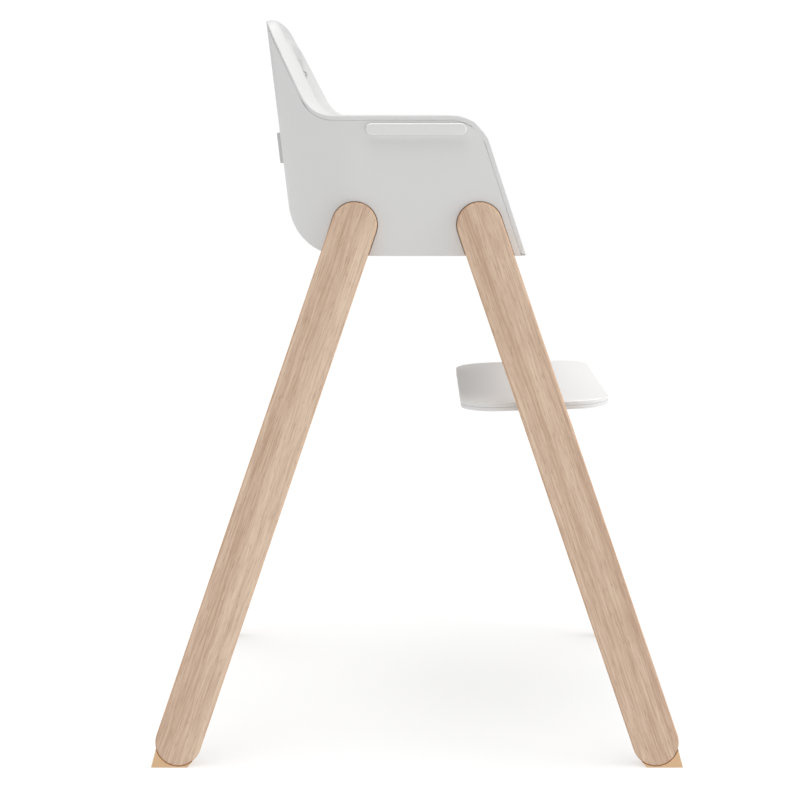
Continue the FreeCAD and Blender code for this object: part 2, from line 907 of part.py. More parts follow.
def make_rail_screws():
    screws = []
    for side_name, side in SIDES.items():
        for i, x in enumerate(rail_screw_places()):
            inner = rail_back_half - 4.9
            axis = Vector(-side, 0, 0)
            tag = f"{side_name}_{i}"
            head = rod(f"rail_screw_head_{tag}", 3.6, 2.4, (x, side * inner, D.rail_height), axis, 90.0)
            shank_base = (x, side * (inner + 2.0), D.rail_height)
            shank_radius = D.rail_screw_radius - 0.05
            shank = rod(f"rail_screw_shank_{tag}", shank_radius, 6.6, shank_base, axis, 90.0)
            screws.append(fuse(f"rail_screw_{tag}", [head, shank]))
    return group("rail_screws", screws)


# ---- seat liner ---------------------------------------------------------------------------------

tub_rise = D.back_top_height - D.seat_height
tub_rear_slope = (D.tub_top_rear - D.tub_floor_rear) / tub_rise
tub_half_slope = (D.tub_top_half - D.tub_floor_half) / tub_rise


def tub_rear_x(height):
    """The seat back's surface in the middle of the tub."""
    return -(D.tub_floor_rear + tub_rear_slope * (height - D.seat_height))


def tub_loft(name, grow):
    """The space inside the tub, grown by grow on its walls and floor, with a rounded floor edge."""
    floor = D.seat_height - grow
    radius = D.tub_floor_radius + grow
    steps = 5
    levels = []
    for step in range(steps + 1):
        angle = as_size(90.0 * step / steps)
        levels.append((floor + radius * (1.0 - cosine(angle)), radius * (1.0 - sine(angle))))
    levels.append((D.back_top_height + 25.0, as_size(0.0)))
    outlines = []
    for height, inset in levels:
        up = height - D.seat_height
        outline = plan_outline(
            D.tub_floor_rear + tub_rear_slope * up + grow - inset,
            D.tub_floor_half + tub_half_slope * up + grow - inset,
            D.tub_corner + grow - inset,
            240.0,
        )
        outlines.append((height, outline))
    return loft(name, outlines)


def boss_places():
    """Where the four posts under the tub stand."""
    rear = D.rear_heel_radius - D.shell_floor_rear - 2.4
    front, half = 101.0, 88.0
    return [(x, y) for x in (rear, front) for y in (-half, half)]


def make_liner():
    wide = 230.0
    crest = seat_profile(D.crest_arm_x, D.crest_arm_radius, 0.0)
    liner_form = common(
        "liner_form",
        plan_loft("liner_plan", 0.0),
        plate("liner_profile", "XZ_Plane", -wide, wide, crest),
    )
    below = seat_profile(D.shell_arm_x, D.shell_arm_radius, D.rim_lip, 0.0, 30.0)
    floor = D.shell_floor_height - 30.0
    front_foot = below[0][0] + tangent(D.front_lean) * 30.0
    under_profile = [(front_foot, floor), *below[1:5], (below[5][0], floor)]
    under = plate("liner_under", "XZ_Plane", -wide, wide, under_profile)
    cap = cut("liner_cap", liner_form, [under, crown_waste("liner_crown_waste", 0.0)])
    tub_outside = common("tub_walls", tub_loft("tub_outside", D.tub_wall), liner_form)
    walls = fuse("liner_solid", [cap, tub_outside])
    bosses = []
    for i, (x, y) in enumerate(boss_places()):
        rise = D.seat_height - D.tub_wall / 2 - (D.shell_floor_height + D.shell_wall + 0.2)
        base = (x, y, D.shell_floor_height + D.shell_wall + 0.2)
        bosses.append(rod(f"liner_boss_{i}", 6.0, rise, base))
    walls = fuse("liner_with_bosses", [walls, *bosses])
    tools = [tub_loft("tub_space", 0.0)]
    for i, (x, y) in enumerate(boss_places()):
        tools.append(rod(f"boss_bore_{i}", 1.95, 22.0, (x, y, D.shell_floor_height)))
    for side_name, side in SIDES.items():
        tools.append(shoulder_slot(f"shoulder_slot_{side_name}", side, D.slot_clearance))
    tools.append(crotch_slot("crotch_slot", D.slot_clearance))
    for side_name, side in SIDES.items():
        tools.append(lap_slot(f"lap_slot_{side_name}", side, D.slot_clearance))
    tools.append(slot_plate_recess())
    return cut("seat_liner", walls, tools)


def make_liner_screws():
    screws = []
    for i, (x, y) in enumerate(boss_places()):
        head = rod(f"liner_screw_head_{i}", 4.2, 2.2, (x, y, D.shell_floor_height - 2.3))
        shank = rod(f"liner_screw_shank_{i}", 1.9, 16.0, (x, y, D.shell_floor_height - 0.2))
        screws.append(fuse(f"liner_screw_{i}", [head, shank]))
    return group("liner_screws", screws)


# ---- under-seat frame ---------------------------------------------------------------------------

PLATE_DEPTH = D.leg_thickness + D.leg_back_gap + D.shell_wall + 0.2


def make_side_plate(side_name):
    side = SIDES[side_name]
    half = D.side_plate_length / 2
    low = D.side_plate_height - D.side_plate_width / 2
    high = D.side_plate_height + D.side_plate_width / 2
    lean = 30.0
    outline = [
        (-half, low, 8.0),
        (half, low, 8.0),
        (half - lean, high, 12.0),
        (-half + lean, high, 12.0),
    ]
    blank = common(
        f"side_plate_blank_{side_name}",
        plate(f"side_plate_outline_{side_name}", "XZ_Plane", *side_span(side, 100.0, 230.0), outline),
        slab(f"side_plate_slab_{side_name}", side, PLATE_DEPTH, PLATE_DEPTH + D.side_plate_thickness),
    )
    holes = []
    for end_name, end in ENDS.items():
        for name, height in BOLT_HEIGHTS.items():
            tag = f"{end_name}_{side_name}_{name}"
            depth = PLATE_DEPTH + D.side_plate_thickness + 1.0
            radius = D.bolt_radius + D.bolt_clearance
            holes.append(leg_rod(f"plate_hole_{tag}", end, side, radius, 6.0, depth, height))
    return cut(f"side_plate_{side_name}", blank, holes)


def make_cross_bar(end_name):
    """A square tube between the side plates, its ends cut to their slope."""
    end = ENDS[end_name]
    half = D.cross_bar_size / 2
    x = end * (D.leg_top_x - 40.0)
    gap = 0.1
    depth = PLATE_DEPTH + D.side_plate_thickness + gap

    def tube(name, inset):
        size = half - inset
        low, high = D.cross_bar_height - size, D.cross_bar_height + size
        outline = [
            (-leg_face_half(depth, low), low),
            (leg_face_half(depth, low), low),
            (leg_face_half(depth, high), high),
            (-leg_face_half(depth, high), high),
        ]
        return plate(name, "YZ_Plane", x - size, x + size, outline)

    outside = tube(f"cross_bar_outside_{end_name}", 0.0)
    inside = tube(f"cross_bar_inside_{end_name}", D.cross_bar_wall)
    return cut(f"cross_bar_{end_name}", outside, [inside])


def leg_fastener_groups():
    bolts, washers, inserts = [], [], []
    inner = PLATE_DEPTH + D.side_plate_thickness
    for end_name, end in ENDS.items():
        for side_name, side in SIDES.items():
            for name, height in BOLT_HEIGHTS.items():
                tag = f"{end_name}_{side_name}_{name}"
                under_head = inner + D.washer_thickness + 0.1
                grip = under_head - D.leg_thickness + D.insert_length - 1.0
                shank = leg_rod(f"bolt_shank_{tag}", end, side, D.bolt_radius, grip, under_head, height)
                head_height = D.bolt_head_height
                head_depth = under_head + head_height
                head = leg_rod(
                    f"bolt_head_{tag}", end, side, D.bolt_head_radius, head_height, head_depth, height
                )
                key_hole = leg_rod(f"bolt_key_{tag}", end, side, 2.4, 3.0, head_depth + 1.0, height)
                bolts.append(cut(f"bolt_{tag}", fuse(f"bolt_blank_{tag}", [shank, head]), [key_hole]))
                thickness = D.washer_thickness
                washer_depth = inner + 0.05 + thickness
                ring = leg_rod(
                    f"washer_ring_{tag}", end, side, D.washer_radius, thickness, washer_depth, height
                )
                bore_depth = washer_depth + 1.0
                bore = leg_rod(
                    f"washer_bore_{tag}", end, side, D.bolt_radius + 0.2, 4.0, bore_depth, height
                )
                washers.append(cut(f"washer_{tag}", ring, [bore]))
                sleeve_depth = D.leg_thickness - 0.1
                sleeve = leg_rod(
                    f"insert_sleeve_{tag}",
                    end,
                    side,
                    D.insert_radius - 0.05,
                    D.insert_length,
                    sleeve_depth,
                    height,
                )
                thread = leg_rod(
                    f"insert_thread_{tag}",
                    end,
                    side,
                    D.bolt_radius + 0.05,
                    D.insert_length + 2.0,
                    sleeve_depth + 1.0,
                    height,
                )
                inserts.append(cut(f"insert_{tag}", sleeve, [thread]))
    return (
        group("leg_bolts", bolts),
        group("leg_washers", washers),
        group("leg_inserts", inserts),
    )


# ---- footrest -----------------------------------------------------------------------------------

footrest_lean = leg_angle - D.footrest_tilt
footrest_x = leg_x(D.footrest_height) - D.footrest_setback


def on_footrest(thing):
    """Puts a piece made in the footrest's own frame where the footrest is."""
    thing.Placement = Placement(Vector(), Rotation(Vector(0, -1, 0), D.footrest_tilt.number))
    bind(thing, {"Placement.Rotation.Angle": D.footrest_tilt})
    bind(thing, {"Placement.Base.x": footrest_x, "Placement.Base.z": D.footrest_height})
    return thing


def footrest_outline():
    x, y = D.footrest_depth / 2, footrest_half_width
    return [(sx * x, sy * y, D.footrest_corner) for sx, sy in ((-1, -1), (1, -1), (1, 1), (-1, 1))]


def footrest_screw_places():
    return [
        (sx * D.footrest_screw_x, sy * D.footrest_screw_y) for sx in (-1, 1) for sy in (-1, 1)
    ]


def shoe_screw_places(side):
    return [
        (D.shoe_offset_x + x, side * (shoe_inner_half + shoe_outer_half) / 2) for x in (-14.0, 14.0)
    ]


def make_footrest_cover():
    slab_top = plate("cover_slab", "XY_Plane", -D.footrest_cover_thickness, 0.0, footrest_outline())
    rounded = round_edges("cover_rounded", slab_top, D.footrest_edge_radius, at_height(as_size(0.0)))
    reach = footrest_half_width - 14.0
    dish_radius = reach * reach / (2.0 * D.footrest_dish)
    base = (-200.0, 0.0, dish_radius - D.footrest_dish)
    dish = rod("cover_dish", dish_radius, 400.0, base, Vector(0, 1, 0), 90.0)
    tools = [dish]
    for i, (x, y) in enumerate(footrest_screw_places()):
        tools.append(rod(f"cover_pilot_{i}", 1.6, 2.4, (x, y, -D.footrest_cover_thickness - 0.5)))
    return on_footrest(cut("footrest_cover", rounded, tools))


def make_footrest_plate():
    low = -D.footrest_thickness
    high = -D.footrest_cover_thickness - D.footrest_parting
    slab_low = plate("plate_slab", "XY_Plane", low, high, footrest_outline())
    rounded = round_edges("plate_rounded", slab_low, D.footrest_edge_radius, at_height(low))
    tools = []
    for i, (x, y) in enumerate(footrest_screw_places()):
        tools.append(rod(f"plate_bore_{i}", D.footrest_screw_radius, 12.0, (x, y, low - 1.0)))
    for side_name, side in SIDES.items():
        for i, (x, y) in enumerate(shoe_screw_places(side)):
            tools.append(rod(f"plate_shoe_pilot_{side_name}_{i}", 1.9, 3.6, (x, y, low - 0.5)))
    return on_footrest(cut("footrest_plate", rounded, tools))


def make_footrest_screws():
    screws = []
    for i, (x, y) in enumerate(footrest_screw_places()):
        head = rod(f"footrest_screw_head_{i}", 3.8, 2.0, (x, y, -D.footrest_thickness - 2.1))
        shank = rod(f"footrest_screw_shank_{i}", 1.55, 7.0, (x, y, -D.footrest_thickness - 0.2))
        screws.append(fuse(f"footrest_screw_{i}", [head, shank]))
    return on_footrest(group("footrest_screws", screws))


def key_outline():
    """The key that runs in the track, in the footrest's frame, along the leg's direction."""
    slope = tangent(footrest_lean)
    reach = D.key_width / 2 / cosine(footrest_lean)
    centre = D.footrest_setback
    return [
        (centre - slope * D.key_bottom - reach, D.key_bottom),
        (centre - slope * D.key_bottom + reach, D.key_bottom),
        (centre - slope * D.key_top + reach, D.key_top),
        (centre - slope * D.key_top - reach, D.key_top),
    ]


def make_shoe(side_name):
    side = SIDES[side_name]
    top = -D.footrest_thickness - 0.15
    low = top - D.shoe_thickness
    half = D.shoe_length / 2
    x_span = (D.shoe_offset_x - half, D.shoe_offset_x + half)
    y_span = side_span(side, shoe_inner_half, shoe_outer_half)
    body = block(f"shoe_block_{side_name}", x_span, y_span, (low, top))
    key = plate(
        f"shoe_key_{side_name}",
        "XZ_Plane",
        *side_span(side, footrest_half_width + 0.8, key_end_half),
        key_outline(),
    )
    neck_low = D.key_bottom + 6.0
    neck = block(
        f"shoe_neck_{side_name}",
        (D.shoe_offset_x - 6.0, D.shoe_offset_x + 10.0),
        side_span(side, shoe_outer_half - 3.0, footrest_half_width + 1.8),
        (neck_low, top - 0.5),
    )
    ears = []
    pivot = -D.lever_pivot_drop
    ear_inner = D.lever_width / 2 + 0.4
    for ear, direction in (("fore", 1), ("aft", -1)):
        inner = D.shoe_offset_x + direction * ear_inner
        outer = inner + direction * D.ear_thickness
        span = (inner, outer) if direction > 0 else (outer, inner)
        ears.append(
            block(
                f"shoe_ear_{side_name}_{ear}",
                span,
                side_span(side, lever_pivot_half - 7.0, lever_pivot_half + 7.0),
                (pivot - 7.0, low + 0.5),
            )
        )
    tools = [
        rod(
            f"shoe_pin_bore_{side_name}",
            D.lever_pin_radius + D.pin_running_clearance,
            80.0,
            (-40.0, side * lever_pivot_half, pivot),
            Vector(0, 1, 0),
            90.0,
        )
    ]
    for i, (x, y) in enumerate(shoe_screw_places(side)):
        tools.append(rod(f"shoe_bore_{side_name}_{i}", 2.2, 30.0, (x, y, low - 5.0)))
        tools.append(rod(f"shoe_sink_{side_name}_{i}", 4.3, 8.0, (x, y, low - 5.0)))
    whole = fuse(f"shoe_whole_{side_name}", [body, key, neck, *ears])
    return on_footrest(cut(f"footrest_shoe_{side_name}", whole, tools))


def make_shoe_screws():
    screws = []
    low = -D.footrest_thickness - 0.15 - D.shoe_thickness
    for side_name, side in SIDES.items():
        for i, (x, y) in enumerate(shoe_screw_places(side)):
            head = rod(f"shoe_screw_head_{side_name}_{i}", 3.9, 2.2, (x, y, low + 0.7))
            shank = rod(f"shoe_screw_shank_{side_name}_{i}", 1.85, 11.6, (x, y, low + 2.5))
            screws.append(fuse(f"shoe_screw_{side_name}_{i}", [head, shank]))
    return on_footrest(group("shoe_screws", screws))


def make_lever(side_name):
    side = SIDES[side_name]
    pivot = -D.lever_pivot_drop
    half = D.lever_width / 2
    x_low = D.shoe_offset_x - half
    hub = rod(
        f"lever_hub_{side_name}",
        D.lever_hub_radius,
        D.lever_width,
        (x_low, side * lever_pivot_half, pivot),
        Vector(0, 1, 0),
        90.0,
    )
    top = pivot + D.lever_thickness / 2
    paddle = plate(
        f"lever_paddle_{side_name}",
        "XY_Plane",
        top - D.lever_thickness,
        top,
        [
            (x_low, side * lever_pivot_half),
            (x_low, side * (lever_pivot_half - D.lever_reach), 9.0),
            (x_low + D.lever_width, side * (lever_pivot_half - D.lever_reach), 9.0),
            (x_low + D.lever_width, side * lever_pivot_half),
        ],
    )
    bore = rod(
        f"lever_bore_{side_name}",
        D.lever_pin_radius + D.pin_running_clearance,
        80.0,
        (-40.0, side * lever_pivot_half, pivot),
        Vector(0, 1, 0),
        90.0,
    )
    whole = fuse(f"lever_whole_{side_name}", [hub, paddle])
    return on_footrest(cut(f"footrest_lever_{side_name}", whole, [bore]))


def make_lever_pins():
    pins = []
    for side_name, side in SIDES.items():
        half = D.lever_width / 2 + 0.4 + D.ear_thickness + 1.0
        base = (D.shoe_offset_x - half, side * lever_pivot_half, -D.lever_pivot_drop)
        name = f"lever_pin_{side_name}"
        pins.append(rod(name, D.lever_pin_radius, 2.0 * half, base, Vector(0, 1, 0), 90.0))
    return on_footrest(group("lever_pins", pins))


# ---- harness ------------------------------------------------------------------------------------


def ribbon(name, stations):
    """A flat strap through stations of (centre, width direction, normal direction)."""
    half = D.strap_width.number / 2
    thick = D.strap_thickness.number / 2
    wires = []
    for centre, across, normal in stations:
        across = across.normalize() * half
        normal = normal.normalize() * thick
        corners = [centre + across + normal, centre - across + normal, centre - across - normal]
        corners.append(centre + across - normal)
        wires.append(Part.makePolygon(corners + corners[:1]))
    strap = document.addObject("Part::Feature", name)
    strap.Shape = Part.makeLoft(wires, True, True)
    return strap


def strap_path(points, across):
    """Stations along points, each turned half-way between the runs that meet there."""
    stations = []
    for i, point in enumerate(points):
        before = (point - points[i - 1]).normalize() if i else None
        after = (points[i + 1] - point).normalize() if i + 1 < len(points) else None
        if before is None:
            along = after
        elif after is None:
            along = before
        else:
            along = (before + after).normalize()
        width = across[i] if isinstance(across, list) else across
        width = width - along * width.dot(along)
        stations.append((point, Vector(width), along.cross(width)))
    return stations


def back_point(height, lift, y):
    """A point lift in front of the seat back's surface."""
    return Vector(tub_rear_x(as_size(height)).number + lift, y, height)


def shoulder_slot(name, side, clearance):
    """The slot in the seat back that a shoulder strap passes through."""
    x = tub_rear_x(D.slot_height)
    half_width = D.strap_width / 2 + clearance
    half_height = D.strap_thickness / 2 + clearance
    y = side * D.shoulder_strap_y
    z = D.slot_height
    return block(
        name,
        (x - 20.0, x + 20.0),
        (y - half_width, y + half_width),
        (z - half_height, z + half_height),
    )


back_lean = arc_tangent(tub_rear_slope)


def on_back(thing, height, lift=0.0, y=0.0):
    """Puts a piece made in the seat back's own frame (x out of the back, z up it) at a height."""
    thing.Placement = Placement(Vector(), Rotation(Vector(0, -1, 0), back_lean.number))
    bind(thing, {"Placement.Rotation.Angle": back_lean})
    place = {"x": tub_rear_x(height) + as_size(lift) / cosine(back_lean), "y": as_size(y), "z": height}
    bind(thing, {f"Placement.Base.{axis}": size for axis, size in place.items()})
    return thing


def slot_panel(name, grow, low, high):
    """The panel that frames the two shoulder slots, from low to high out of the seat back."""
    half_wide = D.shoulder_strap_y + D.strap_width / 2 + 9.0 + grow
    half_tall = 16.0 + grow
    corners = [
        (-half_wide, -half_tall, 4.0),
        (half_wide, -half_tall, 4.0),
        (half_wide, half_tall, 4.0),
        (-half_wide, half_tall, 4.0),
    ]
    return on_back(plate(name, "YZ_Plane", low, high, corners), D.slot_height)


def slot_plate_recess():
    return slot_panel("slot_plate_recess", as_size(0.3), -1.6, 30.0)


def make_slot_plate():
    panel = slot_panel("slot_plate_panel", as_size(0.0), -1.4, 0.8)
    slots = [shoulder_slot(f"plate_slot_{name}", side, D.slot_clearance) for name, side in SIDES.items()]
    return cut("harness_slot_plate", panel, slots)


def crotch_slot(name, clearance):
    half_width = D.strap_width / 2 + clearance
    x = D.crotch_slot_x
    half = D.strap_thickness / 2 + clearance
    z_span = (D.seat_height - 20.0, D.seat_height + 5.0)
    return block(name, (x - half, x + half), (-half_width, half_width), z_span)


def lap_slot(name, side, clearance):
    half_width = D.strap_width / 2 + clearance
    x = D.buckle_x
    half = D.strap_thickness / 2 + clearance
    y = side * D.lap_slot_y
    z = D.seat_height
    return block(name, (x - half_width, x + half_width), (y - half, y + half), (z - 20.0, z + 5.0))


def seat_point(x, y, lift):
    return Vector(x, y, D.seat_height.number + lift)


def make_shoulder_strap(side_name):
    side = SIDES[side_name]
    y = side * D.shoulder_strap_y.number
    lift = D.strap_back_lift.number
    slot = D.slot_height.number
    slot_x = tub_rear_x(D.slot_height).number
    cavity_x = harness_cavity_x().number
    end_y = side * tongue_y().number
    bar_x = (harness_bar_front() + D.strap_thickness / 2 + 0.15).number
    bar_top = (D.anchor_height + D.harness_bar_tall / 2).number
    points = [
        Vector(bar_x, y, D.anchor_height.number - 7.0),
        Vector(bar_x, y, bar_top + 4.0),
        Vector(cavity_x, y, slot - 8.0),
        Vector(cavity_x + 5.0, y, slot),
        Vector(slot_x + lift, y, slot),
        Vector(slot_x + lift + 2.6, y, slot - 3.5),
        back_point(slot - 16.0, lift, y),
        back_point(700.0, lift, y),
        back_point(682.0, lift + 1.5, y * 0.98),
        Vector(tub_rear_x(as_size(664.0)).number + 13.0, y * 0.94, 664.0),
        Vector(-110.0, y * 0.88, 654.4),
        seat_point(-92.0, y * 0.82, D.strap_lift.number + 0.6),
        seat_point(D.buckle_x.number - tongue_half().number - 1.8, end_y, D.strap_lift.number + 2.0),
    ]
    return ribbon(f"shoulder_strap_{side_name}", strap_path(points, Vector(0, 1, 0)))


def make_lap_strap(side_name):
    side = SIDES[side_name]
    y = side * D.lap_slot_y.number
    lift = D.strap_lift.number
    x = D.buckle_x.number
    tongue_end = side * (tongue_outer().number + 0.8)
    points = [
        Vector(x, y, D.seat_height.number - 9.0),
        Vector(x, y, D.seat_height.number + 0.4),
        Vector(x, y - side * 2.2, D.seat_height.number + lift + 1.6),
        seat_point(x, y - side * 14.0, lift + 0.4),
        seat_point(x, tongue_end, lift + 2.0),
    ]
    return ribbon(f"lap_strap_{side_name}", strap_path(points, Vector(1, 0, 0)))


def make_crotch_strap():
    lift = D.strap_lift.number
    x = D.crotch_slot_x.number
    points = [
        Vector(x, 0, D.seat_height.number - 9.0),
        Vector(x, 0, D.seat_height.number + 0.4),
        Vector(x - 2.4, 0, D.seat_height.number + lift + 1.4),
        seat_point(x - 12.0, 0, lift + 1.0),
        seat_point(D.buckle_x.number + D.buckle_long.number / 2 + 0.6, 0, lift + 2.4),
    ]
    return ribbon("crotch_strap", strap_path(points, Vector(0, 1, 0)))


def shell_rear_x(height):
    """The outside of the shell's back in the middle."""
    rear_slope = (D.shell_top_rear - D.shell_floor_rear) / (D.back_top_height - D.shell_floor_height)
    return -(D.shell_floor_rear + rear_slope * (height - D.shell_floor_height))


def harness_cavity_x():
    """Where the shoulder straps turn down, behind the rim's underside at the slots' height."""
    above_arm = D.slot_height - D.arm_top_height + D.rim_lip
    return -(D.shell_arm_x + tangent(D.wing_lean) * above_arm + D.harness_cavity)


def harness_bar_front():
    """The front face of the straps' bar, which stands just clear of the shell's back."""
    low = D.anchor_height - D.harness_bar_tall / 2
    return shell_rear_x(low) + D.shell_wall + D.harness_bar_gap + D.harness_bar_deep


def anchor_screw_places():
    return (-D.anchor_screw_y, D.anchor_screw_y)


def make_anchor():
    """The block behind the back that the straps' bar is screwed to, on a narrower foot."""
    low, high = D.anchor_height - D.anchor_tall / 2, D.anchor_height + D.anchor_tall / 2
    foot = 8.0
    outline = [
        (shell_rear_x(low) - D.anchor_deep, low, 2.0),
        (shell_rear_x(low) - 2.4, low),
        (shell_rear_x(low + foot) - 2.4, low + foot),
        (shell_rear_x(low + foot) - 0.2, low + foot),
        (shell_rear_x(high - foot) - 0.2, high - foot),
        (shell_rear_x(high - foot) - 2.4, high - foot),
        (shell_rear_x(high) - 2.4, high),
        (shell_rear_x(high) - D.anchor_deep, high, 2.0),
    ]
    half = D.anchor_wide / 2
    blank = plate("anchor_blank", "XZ_Plane", -half, half, outline)
    x = shell_rear_x(D.anchor_height)
    pilots = [
        rod(f"anchor_pilot_{i}", 1.9, 12.0, (x - 7.0, y, D.anchor_height), Vector(0, 1, 0), 90.0)
        for i, y in enumerate(anchor_screw_places())
    ]
    return cut("harness_anchor", blank, pilots)


def make_harness_bar():
    """The bar inside the back that both shoulder straps are sewn round."""
    front = harness_bar_front()
    half = D.harness_bar_wide / 2
    tall = D.harness_bar_tall / 2
    x_span = (front - D.harness_bar_deep, front)
    z_span = (D.anchor_height - tall, D.anchor_height + tall)
    bar = block("harness_bar_blank", x_span, (-half, half), z_span)
    bores = [
        rod(f"harness_bar_bore_{i}", 2.2, 20.0, (front - 12.0, y, D.anchor_height), Vector(0, 1, 0), 90.0)
        for i, y in enumerate(anchor_screw_places())
    ]
    return cut("harness_bar", bar, bores)


def make_anchor_screws():
    screws = []
    front = harness_bar_front()
    end = shell_rear_x(D.anchor_height) - 6.0
    for i, y in enumerate(anchor_screw_places()):
        z = D.anchor_height
        forwards = Vector(0, 1, 0)
        head = rod(f"anchor_screw_head_{i}", 4.0, 2.4, (front + 0.1, y, z), forwards, 90.0)
        shank = rod(f"anchor_screw_shank_{i}", 1.85, front + 0.3 - end, (end, y, z), forwards, 90.0)
        screws.append(fuse(f"anchor_screw_{i}", [head, shank]))
    return group("anchor_screws", screws)


def make_strap_slider(side_name):
    """A ring round a shoulder strap that slides to set its length."""
    side = SIDES[side_name]
    half_wide, half_tall = D.slider_wide / 2, D.slider_tall / 2
    frame_corners = [
        (-half_wide, -half_tall, 3.0),
        (half_wide, -half_tall, 3.0),
        (half_wide, half_tall, 3.0),
        (-half_wide, half_tall, 3.0),
    ]
    frame = plate(f"slider_frame_{side_name}", "YZ_Plane", -2.4, 3.0, frame_corners)
    slot_half = D.strap_width / 2 + 0.6
    gap = D.strap_thickness / 2 + 0.6
    slot = block(f"slider_slot_{side_name}", (-gap, gap), (-slot_half, slot_half), (-20.0, 20.0))
    slider = cut(f"strap_slider_{side_name}", frame, [slot])
    return on_back(slider, D.slider_height, D.strap_back_lift, side * D.shoulder_strap_y)


buckle_floor = D.seat_height + 0.6
buckle_split = buckle_floor + D.buckle_lower_height
buckle_top = buckle_split + 0.2 + D.buckle_cover_height
button_foot = buckle_top + D.button_proud - D.button_height
spring_foot = buckle_floor + 2.0


def buckle_outline():
    x, y = D.buckle_long / 2, D.buckle_wide / 2
    return [(D.buckle_x + sx * x, sy * y, 9.0) for sx, sy in ((-1, -1), (1, -1), (1, 1), (-1, 1))]


def tongue_half():
    return D.tongue_width / 2 + 4.0


def tongue_outer():
    return D.buckle_wide / 2 + 30.0


def tongue_y():
    return D.buckle_wide / 2 + 16.0


def make_buckle_body():
    blank = plate("buckle_body_blank", "XY_Plane", buckle_floor, buckle_split, buckle_outline())
    well_radius = D.button_radius + D.button_clearance
    tools = [rod("buckle_well", well_radius, 20.0, (D.buckle_x, 0.0, spring_foot))]
    middle = D.buckle_lower_height / 2 + buckle_floor
    half_thick = D.tongue_thickness / 2 + 0.3
    half = D.tongue_width / 2 + 0.3
    for side_name, side in SIDES.items():
        tools.append(
            block(
                f"tongue_mouth_{side_name}",
                (D.buckle_x - half, D.buckle_x + half),
                side_span(side, D.buckle_wide / 2 - D.tongue_depth - 0.3, D.buckle_wide / 2 + 5.0),
                (middle - half_thick, middle + half_thick),
            )
        )
    return cut("buckle_body", blank, tools)


def make_buckle_cover():
    blank = plate("buckle_cover_blank", "XY_Plane", buckle_split + 0.2, buckle_top, buckle_outline())
    rounded = round_edges("buckle_cover_rounded", blank, as_size(2.4), at_height(buckle_top))
    hole_radius = D.button_radius + D.button_clearance
    hole = rod("buckle_cover_hole", hole_radius, 40.0, (D.buckle_x, 0.0, buckle_floor))
    return cut("buckle_cover", rounded, [hole])


def make_button():
    blank = rod("button_blank", D.button_radius, D.button_height, (D.buckle_x, 0.0, button_foot))
    return round_edges("buckle_button", blank, as_size(1.2), at_height(button_foot + D.button_height))


def make_spring():
    """The button's return spring, a helix swept with its wire."""
    wire, radius = D.spring_wire.number, D.spring_radius.number
    low = spring_foot.number + wire / 2 + 0.1
    high = button_foot.number - wire / 2 - 0.1
    coils = 3.0
    helix = Part.makeHelix((high - low) / coils, high - low, radius)
    profile = Part.Wire(Part.makeCircle(wire / 2, Vector(radius, 0, 0), Vector(0, 1, 0)))
    swept = Part.Wire(helix.Edges).makePipeShell([profile], True, True)
    swept.translate(Vector(D.buckle_x.number, 0, low))
    spring = document.addObject("Part::Feature", "buckle_spring")
    spring.Shape = swept
    return spring


def make_tongue(side_name):
    """The blade in the buckle and the wider loop that the straps are sewn to."""
    side = SIDES[side_name]
    middle = D.buckle_lower_height / 2 + buckle_floor
    half_thick = D.tongue_thickness / 2
    blade_half = D.tongue_width / 2
    blade = block(
        f"tongue_blade_{side_name}",
        (D.buckle_x - blade_half, D.buckle_x + blade_half),
        side_span(side, D.buckle_wide / 2 - D.tongue_depth, D.buckle_wide / 2 + 4.0),
        (middle - half_thick, middle + half_thick),
    )
    inner, outer = side_span(side, D.buckle_wide / 2 + 2.0, tongue_outer())
    loop_half = tongue_half()
    corners = [
        (D.buckle_x - loop_half, inner, 3.0),
        (D.buckle_x + loop_half, inner, 3.0),
        (D.buckle_x + loop_half, outer, 3.0),
        (D.buckle_x - loop_half, outer, 3.0),
    ]
    loop = plate(f"tongue_loop_{side_name}", "XY_Plane", middle - 2.0, middle + 2.0, corners)
    return fuse(f"buckle_tongue_{side_name}", [blade, loop])


